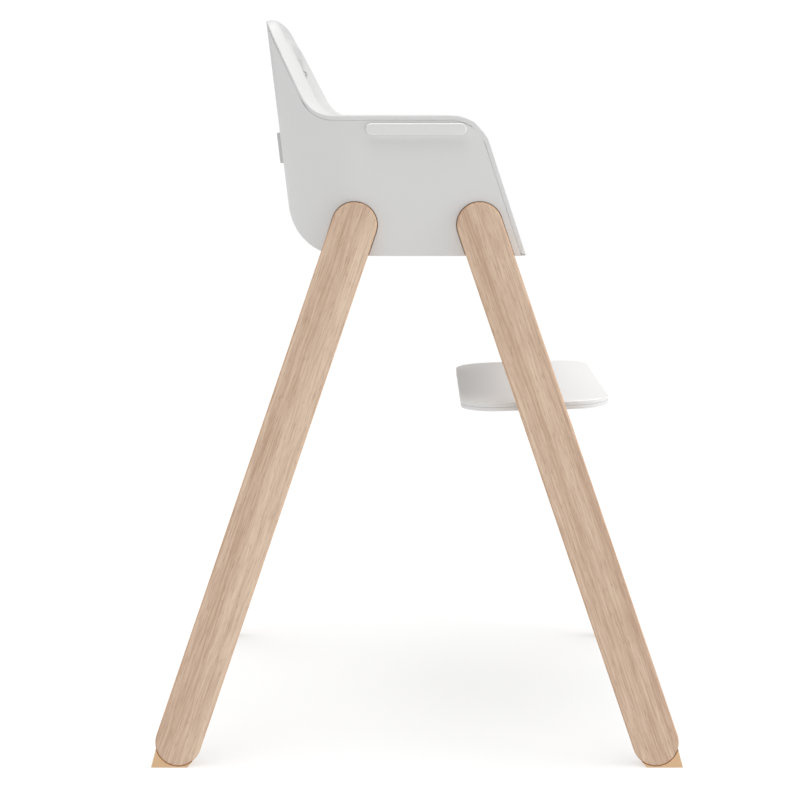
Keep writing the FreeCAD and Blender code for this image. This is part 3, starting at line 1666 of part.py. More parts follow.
def build_all():
    for end_name in ENDS:
        for side_name in SIDES:
            node(make_leg(end_name, side_name), f"leg_{end_name}_{side_name}")
            node(make_foot(end_name, side_name), f"foot_{end_name}_{side_name}")
    node(make_shell_parts(), "outer_shell")
    node(make_liner(), "seat_liner")
    node(make_liner_screws(), "liner_screws")
    for side_name in SIDES:
        node(make_rail(side_name), f"tray_rail_{side_name}")
        node(make_side_plate(side_name), f"side_plate_{side_name}")
        node(make_track(side_name), f"footrest_track_{side_name}")
        node(make_shoe(side_name), f"footrest_shoe_{side_name}")
        node(make_lever(side_name), f"footrest_lever_{side_name}")
        node(make_shoulder_strap(side_name), f"shoulder_strap_{side_name}")
        node(make_lap_strap(side_name), f"lap_strap_{side_name}")
        node(make_strap_slider(side_name), f"strap_slider_{side_name}")
        node(make_tongue(side_name), f"buckle_tongue_{side_name}")
    for end_name in ENDS:
        node(make_cross_bar(end_name), f"cross_bar_{end_name}")
    for thing, label in zip(leg_fastener_groups(), ("leg_bolts", "leg_washers", "leg_inserts")):
        node(thing, label)
    node(make_rail_screws(), "rail_screws")
    node(make_track_screws(), "track_screws")
    node(make_footrest_cover(), "footrest_cover")
    node(make_footrest_plate(), "footrest_plate")
    node(make_footrest_screws(), "footrest_screws")
    node(make_shoe_screws(), "shoe_screws")
    node(make_lever_pins(), "lever_pins")
    node(make_slot_plate(), "harness_slot_plate")
    node(make_crotch_strap(), "crotch_strap")
    node(make_anchor(), "harness_anchor")
    node(make_harness_bar(), "harness_bar")
    node(make_anchor_screws(), "anchor_screws")
    node(make_buckle_body(), "buckle_body")
    node(make_buckle_cover(), "buckle_cover")
    node(make_button(), "buckle_button")
    node(make_spring(), "buckle_spring")


build_all()
document.recompute()
for thing in document.Objects:
    if "Invalid" in thing.State or "Error" in thing.State:
        raise RuntimeError(f"{thing.Label} failed: {thing.State}")
for thing in nodes:
    if thing.Shape.isNull() or not thing.Shape.isValid():
        raise RuntimeError(f"{thing.Label} has no valid shape")
for thing in nodes:
    thing.Shape.exportStep(f"parts/{thing.Label}.step")
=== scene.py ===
"""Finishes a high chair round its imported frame: seat liner, harness, surfaces and stage."""

import math

import bmesh
import bpy
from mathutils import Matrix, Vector


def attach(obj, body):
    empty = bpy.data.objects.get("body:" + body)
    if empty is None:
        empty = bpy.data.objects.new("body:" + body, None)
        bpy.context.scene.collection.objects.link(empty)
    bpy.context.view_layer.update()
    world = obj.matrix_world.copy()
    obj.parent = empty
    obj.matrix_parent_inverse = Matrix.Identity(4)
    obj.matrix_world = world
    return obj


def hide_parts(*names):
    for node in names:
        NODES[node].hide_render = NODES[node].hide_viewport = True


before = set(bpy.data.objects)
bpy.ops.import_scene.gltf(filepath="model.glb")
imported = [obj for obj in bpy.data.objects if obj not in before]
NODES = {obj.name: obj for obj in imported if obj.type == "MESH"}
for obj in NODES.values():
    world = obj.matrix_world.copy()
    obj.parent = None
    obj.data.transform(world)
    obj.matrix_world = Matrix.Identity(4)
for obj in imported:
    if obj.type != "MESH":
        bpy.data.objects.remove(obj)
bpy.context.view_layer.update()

bl_info = {
    "name": "High Chair Maker",
    "version": (1, 0, 0),
    "blender": (4, 5, 0),
    "location": "View3D > Sidebar > High Chair",
    "description": "Finishes a high chair's seat, harness, legs and stage round its frame",
    "category": "Object",
}

SIDES = {"left": 1.0, "right": -1.0}
ENDS = {"front": 1.0, "rear": -1.0}

# ---- sizes and colours that a user would change -------------------------------------------------


def length(name, description, default):
    return bpy.props.FloatProperty(
        name=name, description=description, default=default, min=0.0, unit="LENGTH", precision=4
    )


def colour(name, description, default):
    return bpy.props.FloatVectorProperty(
        name=name,
        description=description,
        default=default,
        size=3,
        min=0.0,
        max=1.0,
        subtype="COLOR",
    )


class SeatSizes(bpy.types.PropertyGroup):
    crown_bulge: length("Crown bulge", "How far the back's top swells between its edges", 0.0086)
    wing_bulge: length("Wing bulge", "How far the wing's rim swells between its edges", 0.0018)
    arm_bulge: length("Arm bulge", "How far the arm's top swells between its edges", 0.0008)
    outer_round: length("Outer edge", "Rounding of the rim's outer edge", 0.0014)
    inner_round: length("Inner edge", "Rounding of the rim's inner edge", 0.011)
    skin: length("Skin", "Thickness of the moulded liner", 0.0012)


class HarnessSizes(bpy.types.PropertyGroup):
    webbing_width: length("Webbing width", "Width of the harness webbing", 0.025)
    webbing_thickness: length("Webbing thickness", "Thickness of the harness webbing", 0.0016)
    weave_pitch: length("Weave pitch", "Distance between two ribs of the weave", 0.0021)


class ChairColours(bpy.types.PropertyGroup):
    seat: colour("Seat", "Moulded seat", (0.805, 0.805, 0.80))
    rail: colour("Rails", "Tray rails", (0.85, 0.85, 0.845))
    wood_light: colour("Light wood", "Early wood of the legs", (0.885, 0.69, 0.525))
    wood_dark: colour("Dark wood", "Late wood of the legs", (0.56, 0.37, 0.26))
    # Painted shade: a darker, warmer tint multiplied over the legs' rounded narrow edges.
    wood_edge_shade: colour("Wood edges", "Tint over the legs' narrow edges", (0.95, 0.80, 0.64))
    feet: colour("Feet", "Plastic feet", (0.81, 0.54, 0.315))
    footrest: colour("Footrest", "Footrest mouldings", (0.84, 0.84, 0.835))
    grey: colour("Grey parts", "Footrest's tracks, shoes and levers", (0.55, 0.55, 0.545))
    panel: colour("Harness panel", "Slot panel and the anchor behind it", (0.70, 0.70, 0.695))
    zinc: colour("Zinc", "Screws, bolts, pins and the spring", (0.58, 0.58, 0.60))
    coated: colour("Coated steel", "Frame under the seat", (0.05, 0.05, 0.052))
    webbing: colour("Webbing", "Harness webbing", (0.68, 0.685, 0.68))
    buckle: colour("Buckle", "Buckle and sliders", (0.46, 0.465, 0.46))
    button: colour("Button", "Release button", (0.20, 0.205, 0.205))


# ---- mesh helpers -------------------------------------------------------------------------------


def deselect_all():
    if bpy.context.mode != "OBJECT":
        bpy.ops.object.mode_set(mode="OBJECT")
    bpy.ops.object.select_all(action="DESELECT")


def choose(obj):
    deselect_all()
    obj.select_set(True)
    bpy.context.view_layer.objects.active = obj


def edit(obj):
    choose(obj)
    bpy.ops.object.mode_set(mode="EDIT")


def leave_edit():
    bpy.ops.object.mode_set(mode="OBJECT")


def apply_modifier(obj, kind, **settings):
    choose(obj)
    modifier = obj.modifiers.new(kind.title(), kind)
    for name, value in settings.items():
        setattr(modifier, name, value)
    bpy.ops.object.modifier_apply(modifier=modifier.name)


def subdivide(obj, levels):
    apply_modifier(obj, "SUBSURF", levels=levels, render_levels=levels)


def grid_from_rows(name, rows):
    """A sheet of quads through rows of points, from a primitive grid moved point by point."""
    count_x, count_y = len(rows[0]), len(rows)
    deselect_all()
    steps = {"x_subdivisions": count_x - 1, "y_subdivisions": count_y - 1}
    bpy.ops.mesh.primitive_grid_add(size=1.0, **steps)
    sheet = bpy.context.object
    sheet.name = sheet.data.name = name
    for index, vertex in enumerate(sheet.data.vertices):
        row, column = divmod(index, count_x)
        vertex.co = rows[row][column]
    return sheet


def join(objects, name):
    choose(objects[0])
    for other in objects[1:]:
        other.select_set(True)
    bpy.ops.object.join()
    joined = bpy.context.object
    joined.name = joined.data.name = name
    return joined


def weld(obj, distance=0.00001):
    edit(obj)
    bpy.ops.mesh.select_all(action="SELECT")
    bpy.ops.mesh.remove_doubles(threshold=distance)
    bpy.ops.mesh.normals_make_consistent(inside=False)
    leave_edit()


def smooth(obj, degrees):
    choose(obj)
    bpy.ops.object.shade_smooth_by_angle(angle=math.radians(degrees))


def clear_place(obj):
    choose(obj)
    bpy.ops.object.transform_apply(location=True, rotation=True, scale=True)


def finish_piece(obj, body, material, replaced):
    """Gives a piece its material and says what it rides on, is made of and stands in for."""
    obj.data.materials.clear()
    obj.data.materials.append(material)
    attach(obj, body)
    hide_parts(*replaced)


def mix(low, high, share):
    return low + (high - low) * share


# ---- seat shape ---------------------------------------------------------------------------------

# Heights above the ground: the shell's underside, the arm, the back's crown and the seat.
FLOOR, ARM_TOP, BACK_TOP, SEAT = 0.618, 0.7912, 0.915, 0.650
# Roundings: the seat's edge, the shell's lower edge, the arm's front corner and the crown.
SEAT_ROUND, CORNER_ROUND, FRONT_ROUND, CROWN_RADIUS = 0.026, 0.012, 0.048, 1.105
# The leaning front edge and the wing that rises from the arm, seen from the side.
FRONT_LOW_X = 0.1359
FRONT_LEAN, WING_LEAN = math.radians(18.48), math.radians(26.3)
# The rim's lip: how far it hangs, its clearance, its last rows' spacing and its tuck inwards.
RIM_LIP, LIP_REACH, LIP_STEP, LIP_TUCK = 0.0055, 0.0002, 0.001, 0.0026
# Where the wall's straight side ends and its rear corner ends, as shares of its way round.
STRAIGHT_SHARE, BEND_SHARE = 0.5, 0.84
# The arm's top, below the wing: where its rim swells most, and its inner rounding.
ARM_PEAK, ARM_INNER_ROUND = 0.5, 0.008
CROWN_PEAK = 0.75
# Heights above the arm over which the rim takes on the wing's shape, then the crown's.
WING_RISE, CROWN_START, CROWN_RISE = 0.03, 0.05, 0.035
# How softly the wing's outer edge runs into the crown's.
CROWN_BLEND = 0.006
# Rows of points, as shares: across the rim, down the wall and over the seat's floor.
RIM_SHARES = (0.30, 0.45, 0.60, 0.74, 0.87)
WALL_SHARES = (0.08, 0.17, 0.28, 0.42, 0.6, 0.8, 0.95, 1.0)
SEAT_SHARES = (0.3, 0.65, 1.0)
FOOT_STEPS = 4
# Two heights closer than this are the same.
TOUCH = 1e-6


class Wall:
    """A bucket wall: straight sides, round rear corners and a flat back, all leaning outwards.

    Low is its lowest height. Rear, half and corner are how far back it lies, half its width
    and its corners' radius, each at that height and at the top of the back.
    """

    def __init__(self, low, rear, half, corner):
        self.low, self.rear, self.half, self.corner = low, rear, half, corner

    def at(self, height):
        share = (height - self.low) / (BACK_TOP - self.low)
        return (mix(*self.rear, share), mix(*self.half, share), mix(*self.corner, share))

    def point(self, along, height, drop=0.0):
        """Along runs from 0 at the leaning front to 1 in the middle of the back."""
        rear, half, corner = self.at(height)
        bend_x = corner - rear
        if along < STRAIGHT_SHARE:
            front = front_x(height, drop)
            return Vector((mix(front, bend_x, along / STRAIGHT_SHARE), half, height))
        if along < BEND_SHARE:
            angle = self.bend(along)
            x = bend_x - corner * math.sin(angle)
            return Vector((x, half - corner + corner * math.cos(angle), height))
        share = (along - BEND_SHARE) / (1.0 - BEND_SHARE)
        return Vector((-rear, (half - corner) * (1.0 - share), height))

    @staticmethod
    def bend(along):
        share = (along - STRAIGHT_SHARE) / (BEND_SHARE - STRAIGHT_SHARE)
        return math.pi / 2 * min(1.0, max(0.0, share))

    def inwards(self, along):
        angle = self.bend(along)
        return Vector((math.sin(angle), -math.cos(angle), 0.0))


SHELL_WALL = Wall(FLOOR, (0.1585, 0.1924), (0.174, 0.1946), (0.092, 0.112))
TUB_WALL = Wall(SEAT, (0.1329, 0.1632), (0.128, 0.1616), (0.066, 0.080))


def front_corner(drop):
    """Centre, radius and middle of the round corner between the front and the arm's top."""
    arm = ARM_TOP - drop
    radius = FRONT_ROUND - drop * 0.5
    corner_x = front_line(arm, drop)
    reach = radius * math.tan((math.pi / 2 - FRONT_LEAN) / 2)
    centre_x, centre_z = corner_x - reach, arm - radius
    middle = (math.pi / 2 + FRONT_LEAN) / 2
    return centre_x, centre_z, radius, centre_z + radius * math.sin(middle)


def front_line(height, drop=0.0):
    """The straight part of the front edge, seen from the side."""
    return FRONT_LOW_X - drop / math.cos(FRONT_LEAN) - math.tan(FRONT_LEAN) * (height - FLOOR)


def front_x(height, drop=0.0):
    """The front edge seen from the side, up to the middle of its round corner."""
    centre_x, centre_z, radius, middle_z = front_corner(drop)
    height = min(height, middle_z)
    line = front_line(height, drop)
    if height <= centre_z + radius * math.sin(FRONT_LEAN):
        return line
    return centre_x + math.sqrt(radius**2 - (height - centre_z) ** 2)


def rim_height(x, arm_x, arm_round, drop=0.0):
    """Height of the rim seen from the side: front corner, arm, hollow corner and wing."""
    arm = ARM_TOP - drop
    centre_x, centre_z, radius, middle_z = front_corner(drop)
    if x > centre_x:
        reach = min(x - centre_x, radius * 0.999)
        return max(middle_z, centre_z + math.sqrt(radius**2 - reach**2))
    reach = arm_round * math.tan((math.pi / 2 - WING_LEAN) / 2)
    if x > reach - arm_x:
        return arm
    if x > -arm_x - reach * math.sin(WING_LEAN):
        return arm + arm_round - math.sqrt(arm_round**2 - (x - reach + arm_x) ** 2)
    return arm + (-arm_x - x) / math.tan(WING_LEAN)


def crown_height(y, drop=0.0):
    """Height of the back's curved top, seen from the front."""
    radius = CROWN_RADIUS - drop
    return BACK_TOP - CROWN_RADIUS + math.sqrt(radius**2 - y**2)


def soft_least(first, second, width):
    """The lesser of two heights, rounded where they cross."""
    gap = max(width - abs(first - second), 0.0) / width
    return min(first, second) - gap * gap * width / 4


# Where the wing meets the arm, and the hollow's radius there, at the rim's crest and outside.
CREST_ARM_X, CREST_ROUND = 0.1145, 0.034
OUTER_ARM_X, OUTER_ROUND = 0.1307, 0.043
# Steps that find where a leaning wall meets the rim's height, and how far each one goes.
CREST_STEPS, OUTER_STEPS, OUTER_PACE = 40, 60, 0.7


def crest_point(along):
    """A point of the rim's crest, on the tub's wall."""
    height = ARM_TOP
    for _ in range(CREST_STEPS):
        point = TUB_WALL.point(along, height)
        height = rim_height(point.x, CREST_ARM_X, CREST_ROUND)
    return TUB_WALL.point(along, height)


def outer_point(along, drop):
    """A point on the shell's wall, so far below the rim's outer edge."""
    height = ARM_TOP
    for _ in range(OUTER_STEPS):
        point = SHELL_WALL.point(along, height, drop)
        rim = rim_height(point.x, OUTER_ARM_X, OUTER_ROUND, drop)
        target = soft_least(rim, crown_height(point.y, drop), CROWN_BLEND)
        height = mix(height, target, OUTER_PACE)
    return SHELL_WALL.point(along, height, drop)


def stations():
    """Places along the bucket's wall, close together behind the front edge and round the back."""
    corner = [0.0, 0.012, 0.027, 0.045, 0.066, 0.09, 0.12, 0.16]
    straight = [mix(0.20, 0.48, i / 15) for i in range(16)]
    bend = [mix(STRAIGHT_SHARE, BEND_SHARE, i / 12) for i in range(12)]
    rear = [mix(BEND_SHARE, 1.0, i / 5) for i in range(6)]
    return corner + straight + bend + rear


def held(points):
    """Points set apart by what subdividing will draw them in, so that a bend keeps its size."""
    moved = list(points)
    for i in range(1, len(points) - 1):
        moved[i] = points[i] + (points[i] * 2 - points[i - 1] - points[i + 1]) / 6
    return moved


def wall_column(along, inner_round):
    """Points from the rim's crest down the wall, round its foot and over the seat's floor."""
    crest = crest_point(along)
    foot = SEAT + SEAT_ROUND
    top = crest.z - inner_round
    heights = [crest.z, top] + [mix(top, foot, share) for share in WALL_SHARES]
    column = [TUB_WALL.point(along, height) for height in heights]
    inwards = TUB_WALL.inwards(along)
    for step in range(1, FOOT_STEPS + 1):
        angle = math.pi / 2 * step / FOOT_STEPS
        point = TUB_WALL.point(along, foot - SEAT_ROUND * math.sin(angle))
        column.append(point + inwards * SEAT_ROUND * (1.0 - math.cos(angle)))
    pole_x = TUB_WALL.point(STRAIGHT_SHARE, SEAT).x
    last = column[-1]
    end = Vector((max(last.x, pole_x) if along < STRAIGHT_SHARE else pole_x, 0.0, SEAT))
    column += [last.lerp(end, share) for share in SEAT_SHARES]
    return column[:1] + held(column[1:])


def front_rim_outer(point, drop):
    """Where the rim's outer edge lies beside a point of the front's inner edge."""
    foot = SEAT + SEAT_ROUND
    middle_z = front_corner(0.0)[3]
    bottom = FLOOR + CORNER_ROUND
    if point.z > foot - TOUCH:
        height = mix(bottom, front_corner(drop)[3], (point.z - foot) / (middle_z - foot))
        return Vector((front_x(height, drop), SHELL_WALL.at(height)[1], height))
    half_foot = TUB_WALL.at(SEAT)[1] - SEAT_ROUND
    half_floor = SHELL_WALL.at(FLOOR)[1]
    if point.z > SEAT + TOUCH:
        angle = math.asin(min(1.0, (foot - point.z) / SEAT_ROUND))
        height = bottom - CORNER_ROUND * math.sin(angle)
        y = half_floor - CORNER_ROUND * (1.0 - math.cos(angle))
        return Vector((front_x(height, drop), y, height))
    y = (half_floor - CORNER_ROUND) * point.y / half_foot
    return Vector((front_x(FLOOR, drop), y, FLOOR))


def rim_row(crest, outer, inwards, outer_round, bulge, peak, inner_round):
    """Points from the crest over the rim, which swells most at its peak, to the parting lip."""
    edge = outer(0.0)
    across = edge - crest
    reach = across.length
    across.normalize()
    lip = outer(outer_round)
    facing = across.cross(across.cross((lip - edge).normalized())).normalized()
    skew = math.log(0.5) / math.log(peak)
    row = [crest, crest + across * inner_round]
    for share in RIM_SHARES:
        lift = bulge * math.sin(math.pi * share**skew)
        row.append(crest + across * reach * share + facing * lift)
    row += [edge - across * outer_round, edge, lip]
    under = RIM_LIP + LIP_REACH
    row += [outer(RIM_LIP / 2), outer(under - LIP_STEP), outer(under)]
    row.append(outer(under) + inwards * LIP_TUCK)
    return row


def front_rim(column, sizes):
    """The rim's rows up the front, beside the tub's open front edge."""
    rows = []
    for point in reversed(column[1:]):
        inwards = Vector((0, -1, 0)) if point.z > SEAT + SEAT_ROUND / 2 else Vector((0, 0, 1))

        def outer(drop, point=point):
            return front_rim_outer(point, drop)

        rounds = (sizes.outer_round, sizes.arm_bulge, ARM_PEAK, ARM_INNER_ROUND)
        rows.append(rim_row(point, outer, inwards, *rounds))
    return rows


def top_rim(along, crest, sizes):
    """One row over the arm, the wing or the top of the back."""

    def outer(drop):
        return outer_point(along, drop)

    wing = min(1.0, max(0.0, (crest.z - ARM_TOP) / WING_RISE))
    crown = min(1.0, max(0.0, (crest.z - ARM_TOP - CROWN_START) / CROWN_RISE)) ** 2
    bulge = mix(mix(sizes.arm_bulge, sizes.wing_bulge, wing), sizes.crown_bulge, crown)
    peak = mix(ARM_PEAK, CROWN_PEAK, crown)
    inner_round = mix(ARM_INNER_ROUND, sizes.inner_round, wing)
    inwards = SHELL_WALL.inwards(along)
    return rim_row(crest, outer, inwards, sizes.outer_round, bulge, peak, inner_round)


def seat_half(sizes):
    """The left half of the liner as two sheets of points: the tub and its rim."""
    places = stations()
    columns = [wall_column(along, sizes.inner_round) for along in places]
    crest, *lines = zip(*columns)
    tub = [list(crest), *map(held, lines)]
    rim = front_rim(columns[0], sizes)
    rim += [top_rim(along, column[0], sizes) for along, column in zip(places, columns)]
    crest, *lines = zip(*rim)
    rim = [list(row) for row in zip(crest, *map(held, lines))]
    return tub, rim


def mirrored(rows):
    """The same rows on the chair's right side."""
    return [[Vector((p.x, -p.y, p.z)) for p in row] for row in rows]


def face_outwards(obj, probe):
    """Turns a sheet over if its face nearest to the probe point looks down."""
    nearest = min(obj.data.polygons, key=lambda face: (face.center - probe).length)
    if nearest.normal.z < 0:
        edit(obj)
        bpy.ops.mesh.select_all(action="SELECT")
        bpy.ops.mesh.flip_normals()
        leave_edit()


# ---- harness shape ------------------------------------------------------------------------------

BACK_SLOPE = (TUB_WALL.rear[1] - TUB_WALL.rear[0]) / (BACK_TOP - SEAT)
# The shoulder slots, and how far a strap's middle stands off the back.
SLOT_HEIGHT, SHOULDER_Y, BACK_LIFT = 0.850, 0.055, 0.003
# Room round a strap in its slot, and how far each cut reaches to either side of the wall.
SLOT_GAP, BACK_SLOT_REACH, SEAT_SLOT_REACH = 0.0008, 0.02, 0.012
BUCKLE_X, LAP_Y, CROTCH_X = -0.002, 0.096, 0.048
# Behind the back: the straps' loop round the bar, and their way up to the slots.
BAR_X, BAR_LOW, BAR_HIGH, CAVITY = -0.1636, 0.742, 0.762, 0.0125
# How far below the seat the lap and crotch straps start.
STRAP_START = 0.009


def back_x(height, lift=0.0):
    """How far forward the backrest's face lies at a height."""
    return lift - TUB_WALL.rear[0] - BACK_SLOPE * (height - SEAT)


# ---- shared shader groups -----------------------------------------------------------------------


def new_group(name, inputs, outputs):
    tree = bpy.data.node_groups.new(name, "ShaderNodeTree")
    for label, kind, default in inputs:
        socket = tree.interface.new_socket(label, in_out="INPUT", socket_type=kind)
        if default is not None:
            socket.default_value = default
    for label, kind in outputs:
        tree.interface.new_socket(label, in_out="OUTPUT", socket_type=kind)
    return tree, tree.nodes.new("NodeGroupInput"), tree.nodes.new("NodeGroupOutput")


def add_node(tree, kind, links=None, **settings):
    """Adds a node, sets its properties and inputs, and links sockets into its inputs."""
    node = tree.nodes.new(kind)
    for name, value in settings.items():
        setattr(node, name, value)
    for key, value in (links or {}).items():
        if isinstance(value, bpy.types.NodeSocket):
            tree.links.new(value, node.inputs[key])
        else:
            node.inputs[key].default_value = value
    return node


def math_node(tree, operation, *values):
    node = tree.nodes.new("ShaderNodeMath")
    node.operation = operation
    for socket, value in zip(node.inputs, values):
        if isinstance(value, bpy.types.NodeSocket):
            tree.links.new(value, socket)
        else:
            socket.default_value = value
    return node.outputs[0]


def mix_colour(tree, share, first, second, blend="MIX"):
    """Mixes two colours; a mix node's colour inputs are its seventh and eighth."""
    node = tree.nodes.new("ShaderNodeMix")
    node.data_type = "RGBA"
    node.blend_type = blend
    for place, value in ((0, share), (6, first), (7, second)):
        socket = node.inputs[place]
        if isinstance(value, bpy.types.NodeSocket):
            tree.links.new(value, socket)
        else:
            socket.default_value = value
    return node.outputs[2]


def ramp(tree, value, low, high):
    """Rises softly from 0 to 1 as the value goes from low to high."""
    node = add_node(tree, "ShaderNodeMapRange", {0: value, 1: low, 2: high})
    node.interpolation_type = "SMOOTHSTEP"
    return node.outputs[0]


SURFACE_OUTPUTS = [
    ("Colour", "NodeSocketColor"),
    ("Roughness", "NodeSocketFloat"),
    ("Height", "NodeSocketFloat"),
]


def moulded_group():
    """Faint mottling and fine texture of moulded plastic."""
    tree, given, result = new_group(
        "Moulded surface",
        [
            ("Vector", "NodeSocketVector", None),
            ("Colour", "NodeSocketColor", (0.8, 0.8, 0.8, 1.0)),
            ("Mottle", "NodeSocketFloat", 0.03),
            ("Roughness", "NodeSocketFloat", 0.4),
            ("Grain", "NodeSocketFloat", 1600.0),
        ],
        SURFACE_OUTPUTS,
    )
    vector = given.outputs["Vector"]
    cloud = add_node(tree, "ShaderNodeTexNoise", {"Vector": vector, "Scale": 9.0, "Detail": 4.0})
    fine = add_node(tree, "ShaderNodeTexNoise", {"Vector": vector, "Scale": given.outputs["Grain"]})
    fine.inputs["Detail"].default_value = 2.0
    mottled = math_node(tree, "MULTIPLY", cloud.outputs[0], given.outputs["Mottle"])
    shade = math_node(tree, "SUBTRACT", 1.0, mottled)
    grey = add_node(tree, "ShaderNodeCombineColor", {0: shade, 1: shade, 2: shade})
    toned = mix_colour(tree, 1.0, given.outputs["Colour"], grey.outputs[0], "MULTIPLY")
    centred = math_node(tree, "SUBTRACT", cloud.outputs[0], 0.5)
    rough = math_node(tree, "MULTIPLY_ADD", centred, 0.12, given.outputs["Roughness"])
    tree.links.new(toned, result.inputs["Colour"])
    tree.links.new(rough, result.inputs["Roughness"])
    tree.links.new(fine.outputs[0], result.inputs["Height"])
    return tree


def wood_group():
    """Long fine grain with darker streaks; the grain runs along the vector's X."""
    tree, given, result = new_group(
        "Wood grain",
        [
            ("Vector", "NodeSocketVector", None),
            ("Light", "NodeSocketColor", (0.7, 0.5, 0.35, 1.0)),
            ("Dark", "NodeSocketColor", (0.5, 0.33, 0.22, 1.0)),
            ("Seed", "NodeSocketFloat", 0.0),
        ],
        SURFACE_OUTPUTS,
    )
    seed = given.outputs["Seed"]
    shift = add_node(tree, "ShaderNodeCombineXYZ", {0: seed, 1: seed})
    places = {0: given.outputs["Vector"], 1: shift.outputs[0]}
    moved = add_node(tree, "ShaderNodeVectorMath", places)

    def grain(along, across, detail=2.0, distortion=0.0):
        """Noise with so many waves to the metre along the grain and across it."""
        vectors = {0: moved.outputs[0], 1: (along, across, across)}
        scaled = add_node(tree, "ShaderNodeVectorMath", vectors, operation="MULTIPLY")
        settings = {"Vector": scaled.outputs[0], "Scale": 1.0, "Detail": detail}
        settings |= {"Roughness": 0.55, "Distortion": distortion}
        return add_node(tree, "ShaderNodeTexNoise", settings).outputs[0]

    broad = ramp(tree, grain(1.1, 48.0), 0.36, 0.66)
    bands = ramp(tree, grain(3.0, 240.0, distortion=0.08), 0.34, 0.68)
    fibres = ramp(tree, grain(24.0, 560.0), 0.32, 0.70)
    flecks = ramp(tree, grain(70.0, 850.0, detail=1.0), 0.57, 0.74)
    share = 0.0
    for layer, weight in ((broad, 0.40), (bands, 0.24), (fibres, 0.40), (flecks, 0.50)):
        share = math_node(tree, "MULTIPLY_ADD", layer, weight, share)
    toned = mix_colour(tree, share, given.outputs["Light"], given.outputs["Dark"])
    tree.links.new(toned, result.inputs["Colour"])
    tree.links.new(math_node(tree, "MULTIPLY_ADD", fibres, 0.14, 0.44), result.inputs["Roughness"])
    height = math_node(tree, "MULTIPLY_ADD", flecks, -0.8, fibres)
    tree.links.new(height, result.inputs["Height"])
    return tree


def weave_group():
    """Ribbed webbing: U runs across the strap in ribs, V along it in picks; the colour is darkened
    in the weave's low places as painted shade.
    """
    tree, given, result = new_group(
        "Webbing weave",
        [
            ("Vector", "NodeSocketVector", None),
            ("Colour", "NodeSocketColor", (0.4, 0.4, 0.4, 1.0)),
            ("Pitch", "NodeSocketFloat", 0.002),
        ],
        [("Colour", "NodeSocketColor"), ("Height", "NodeSocketFloat")],
    )
    parts = add_node(tree, "ShaderNodeSeparateXYZ", {0: given.outputs["Vector"]})
    turns = math_node(tree, "DIVIDE", 2 * math.pi, given.outputs["Pitch"])
    across = math_node(tree, "SINE", math_node(tree, "MULTIPLY", parts.outputs[0], turns))
    picks = math_node(tree, "MULTIPLY", parts.outputs[1], math_node(tree, "MULTIPLY", turns, 0.8))
    shift = math_node(tree, "MULTIPLY", math_node(tree, "SIGN", across), math.pi / 2)
    along = math_node(tree, "SINE", math_node(tree, "ADD", picks, shift))
    ribs = math_node(tree, "ABSOLUTE", across)
    height = math_node(tree, "MULTIPLY", math_node(tree, "MULTIPLY_ADD", along, 0.5, 0.5), ribs)
    fuzz = add_node(tree, "ShaderNodeTexNoise", {"Vector": given.outputs["Vector"], "Scale": 900.0})
    # Painted shade: the colour darkens where the weave's height is low, in the hollows between ribs
    # and picks; the fuzz noise adds the yarn's own uneven tone.
    painted_hollow_shade = math_node(tree, "MULTIPLY", height, 0.6)
    level = math_node(tree, "MULTIPLY_ADD", fuzz.outputs[0], 0.35, painted_hollow_shade)
    shade = math_node(tree, "MULTIPLY_ADD", level, 0.75, 0.45)
    grey = add_node(tree, "ShaderNodeCombineColor", {0: shade, 1: shade, 2: shade})
    toned = mix_colour(tree, 1.0, given.outputs["Colour"], grey.outputs[0], "MULTIPLY")
    tree.links.new(toned, result.inputs["Colour"])
    tree.links.new(height, result.inputs["Height"])
    return tree


def edge_shade_group():
    """Where a leg's surface turns away from its two broad faces: the mask for the painted shade on
    its rounded edges.
    """
    tree, given, result = new_group(
        "Narrow edge shade", [("Normal", "NodeSocketVector", None)], [("Mask", "NodeSocketFloat")]
    )
    parts = add_node(tree, "ShaderNodeSeparateXYZ", {0: given.outputs["Normal"]})
    flat = math_node(tree, "ABSOLUTE", parts.outputs[1])
    turned = math_node(tree, "SUBTRACT", 1.0, ramp(tree, flat, 0.75, 0.985))
    rounded = math_node(tree, "MULTIPLY_ADD", ramp(tree, flat, 0.04, 0.3), 0.55, 0.45)
    tree.links.new(math_node(tree, "MULTIPLY", turned, rounded), result.inputs["Mask"])
    return tree


# ---- materials ----------------------------------------------------------------------------------

GROUP_MAKERS = {
    "moulded": moulded_group,
    "wood": wood_group,
    "weave": weave_group,
    "edge": edge_shade_group,
}
GROUPS = {}
MATERIALS = {}


def shader_group(name):
    if name not in GROUPS:
        GROUPS[name] = GROUP_MAKERS[name]()
    return GROUPS[name]


def new_material(name):
    material = bpy.data.materials.new(name)
    material.use_nodes = True
    return material, material.node_tree, material.node_tree.nodes["Principled BSDF"]


def rgba(value):
    return (*value, 1.0)


def bump_into(tree, shader, height, strength, distance):
    sockets = {"Height": height, "Strength": strength, "Distance": distance}
    bump = add_node(tree, "ShaderNodeBump", sockets)
    tree.links.new(bump.outputs[0], shader.inputs["Normal"])


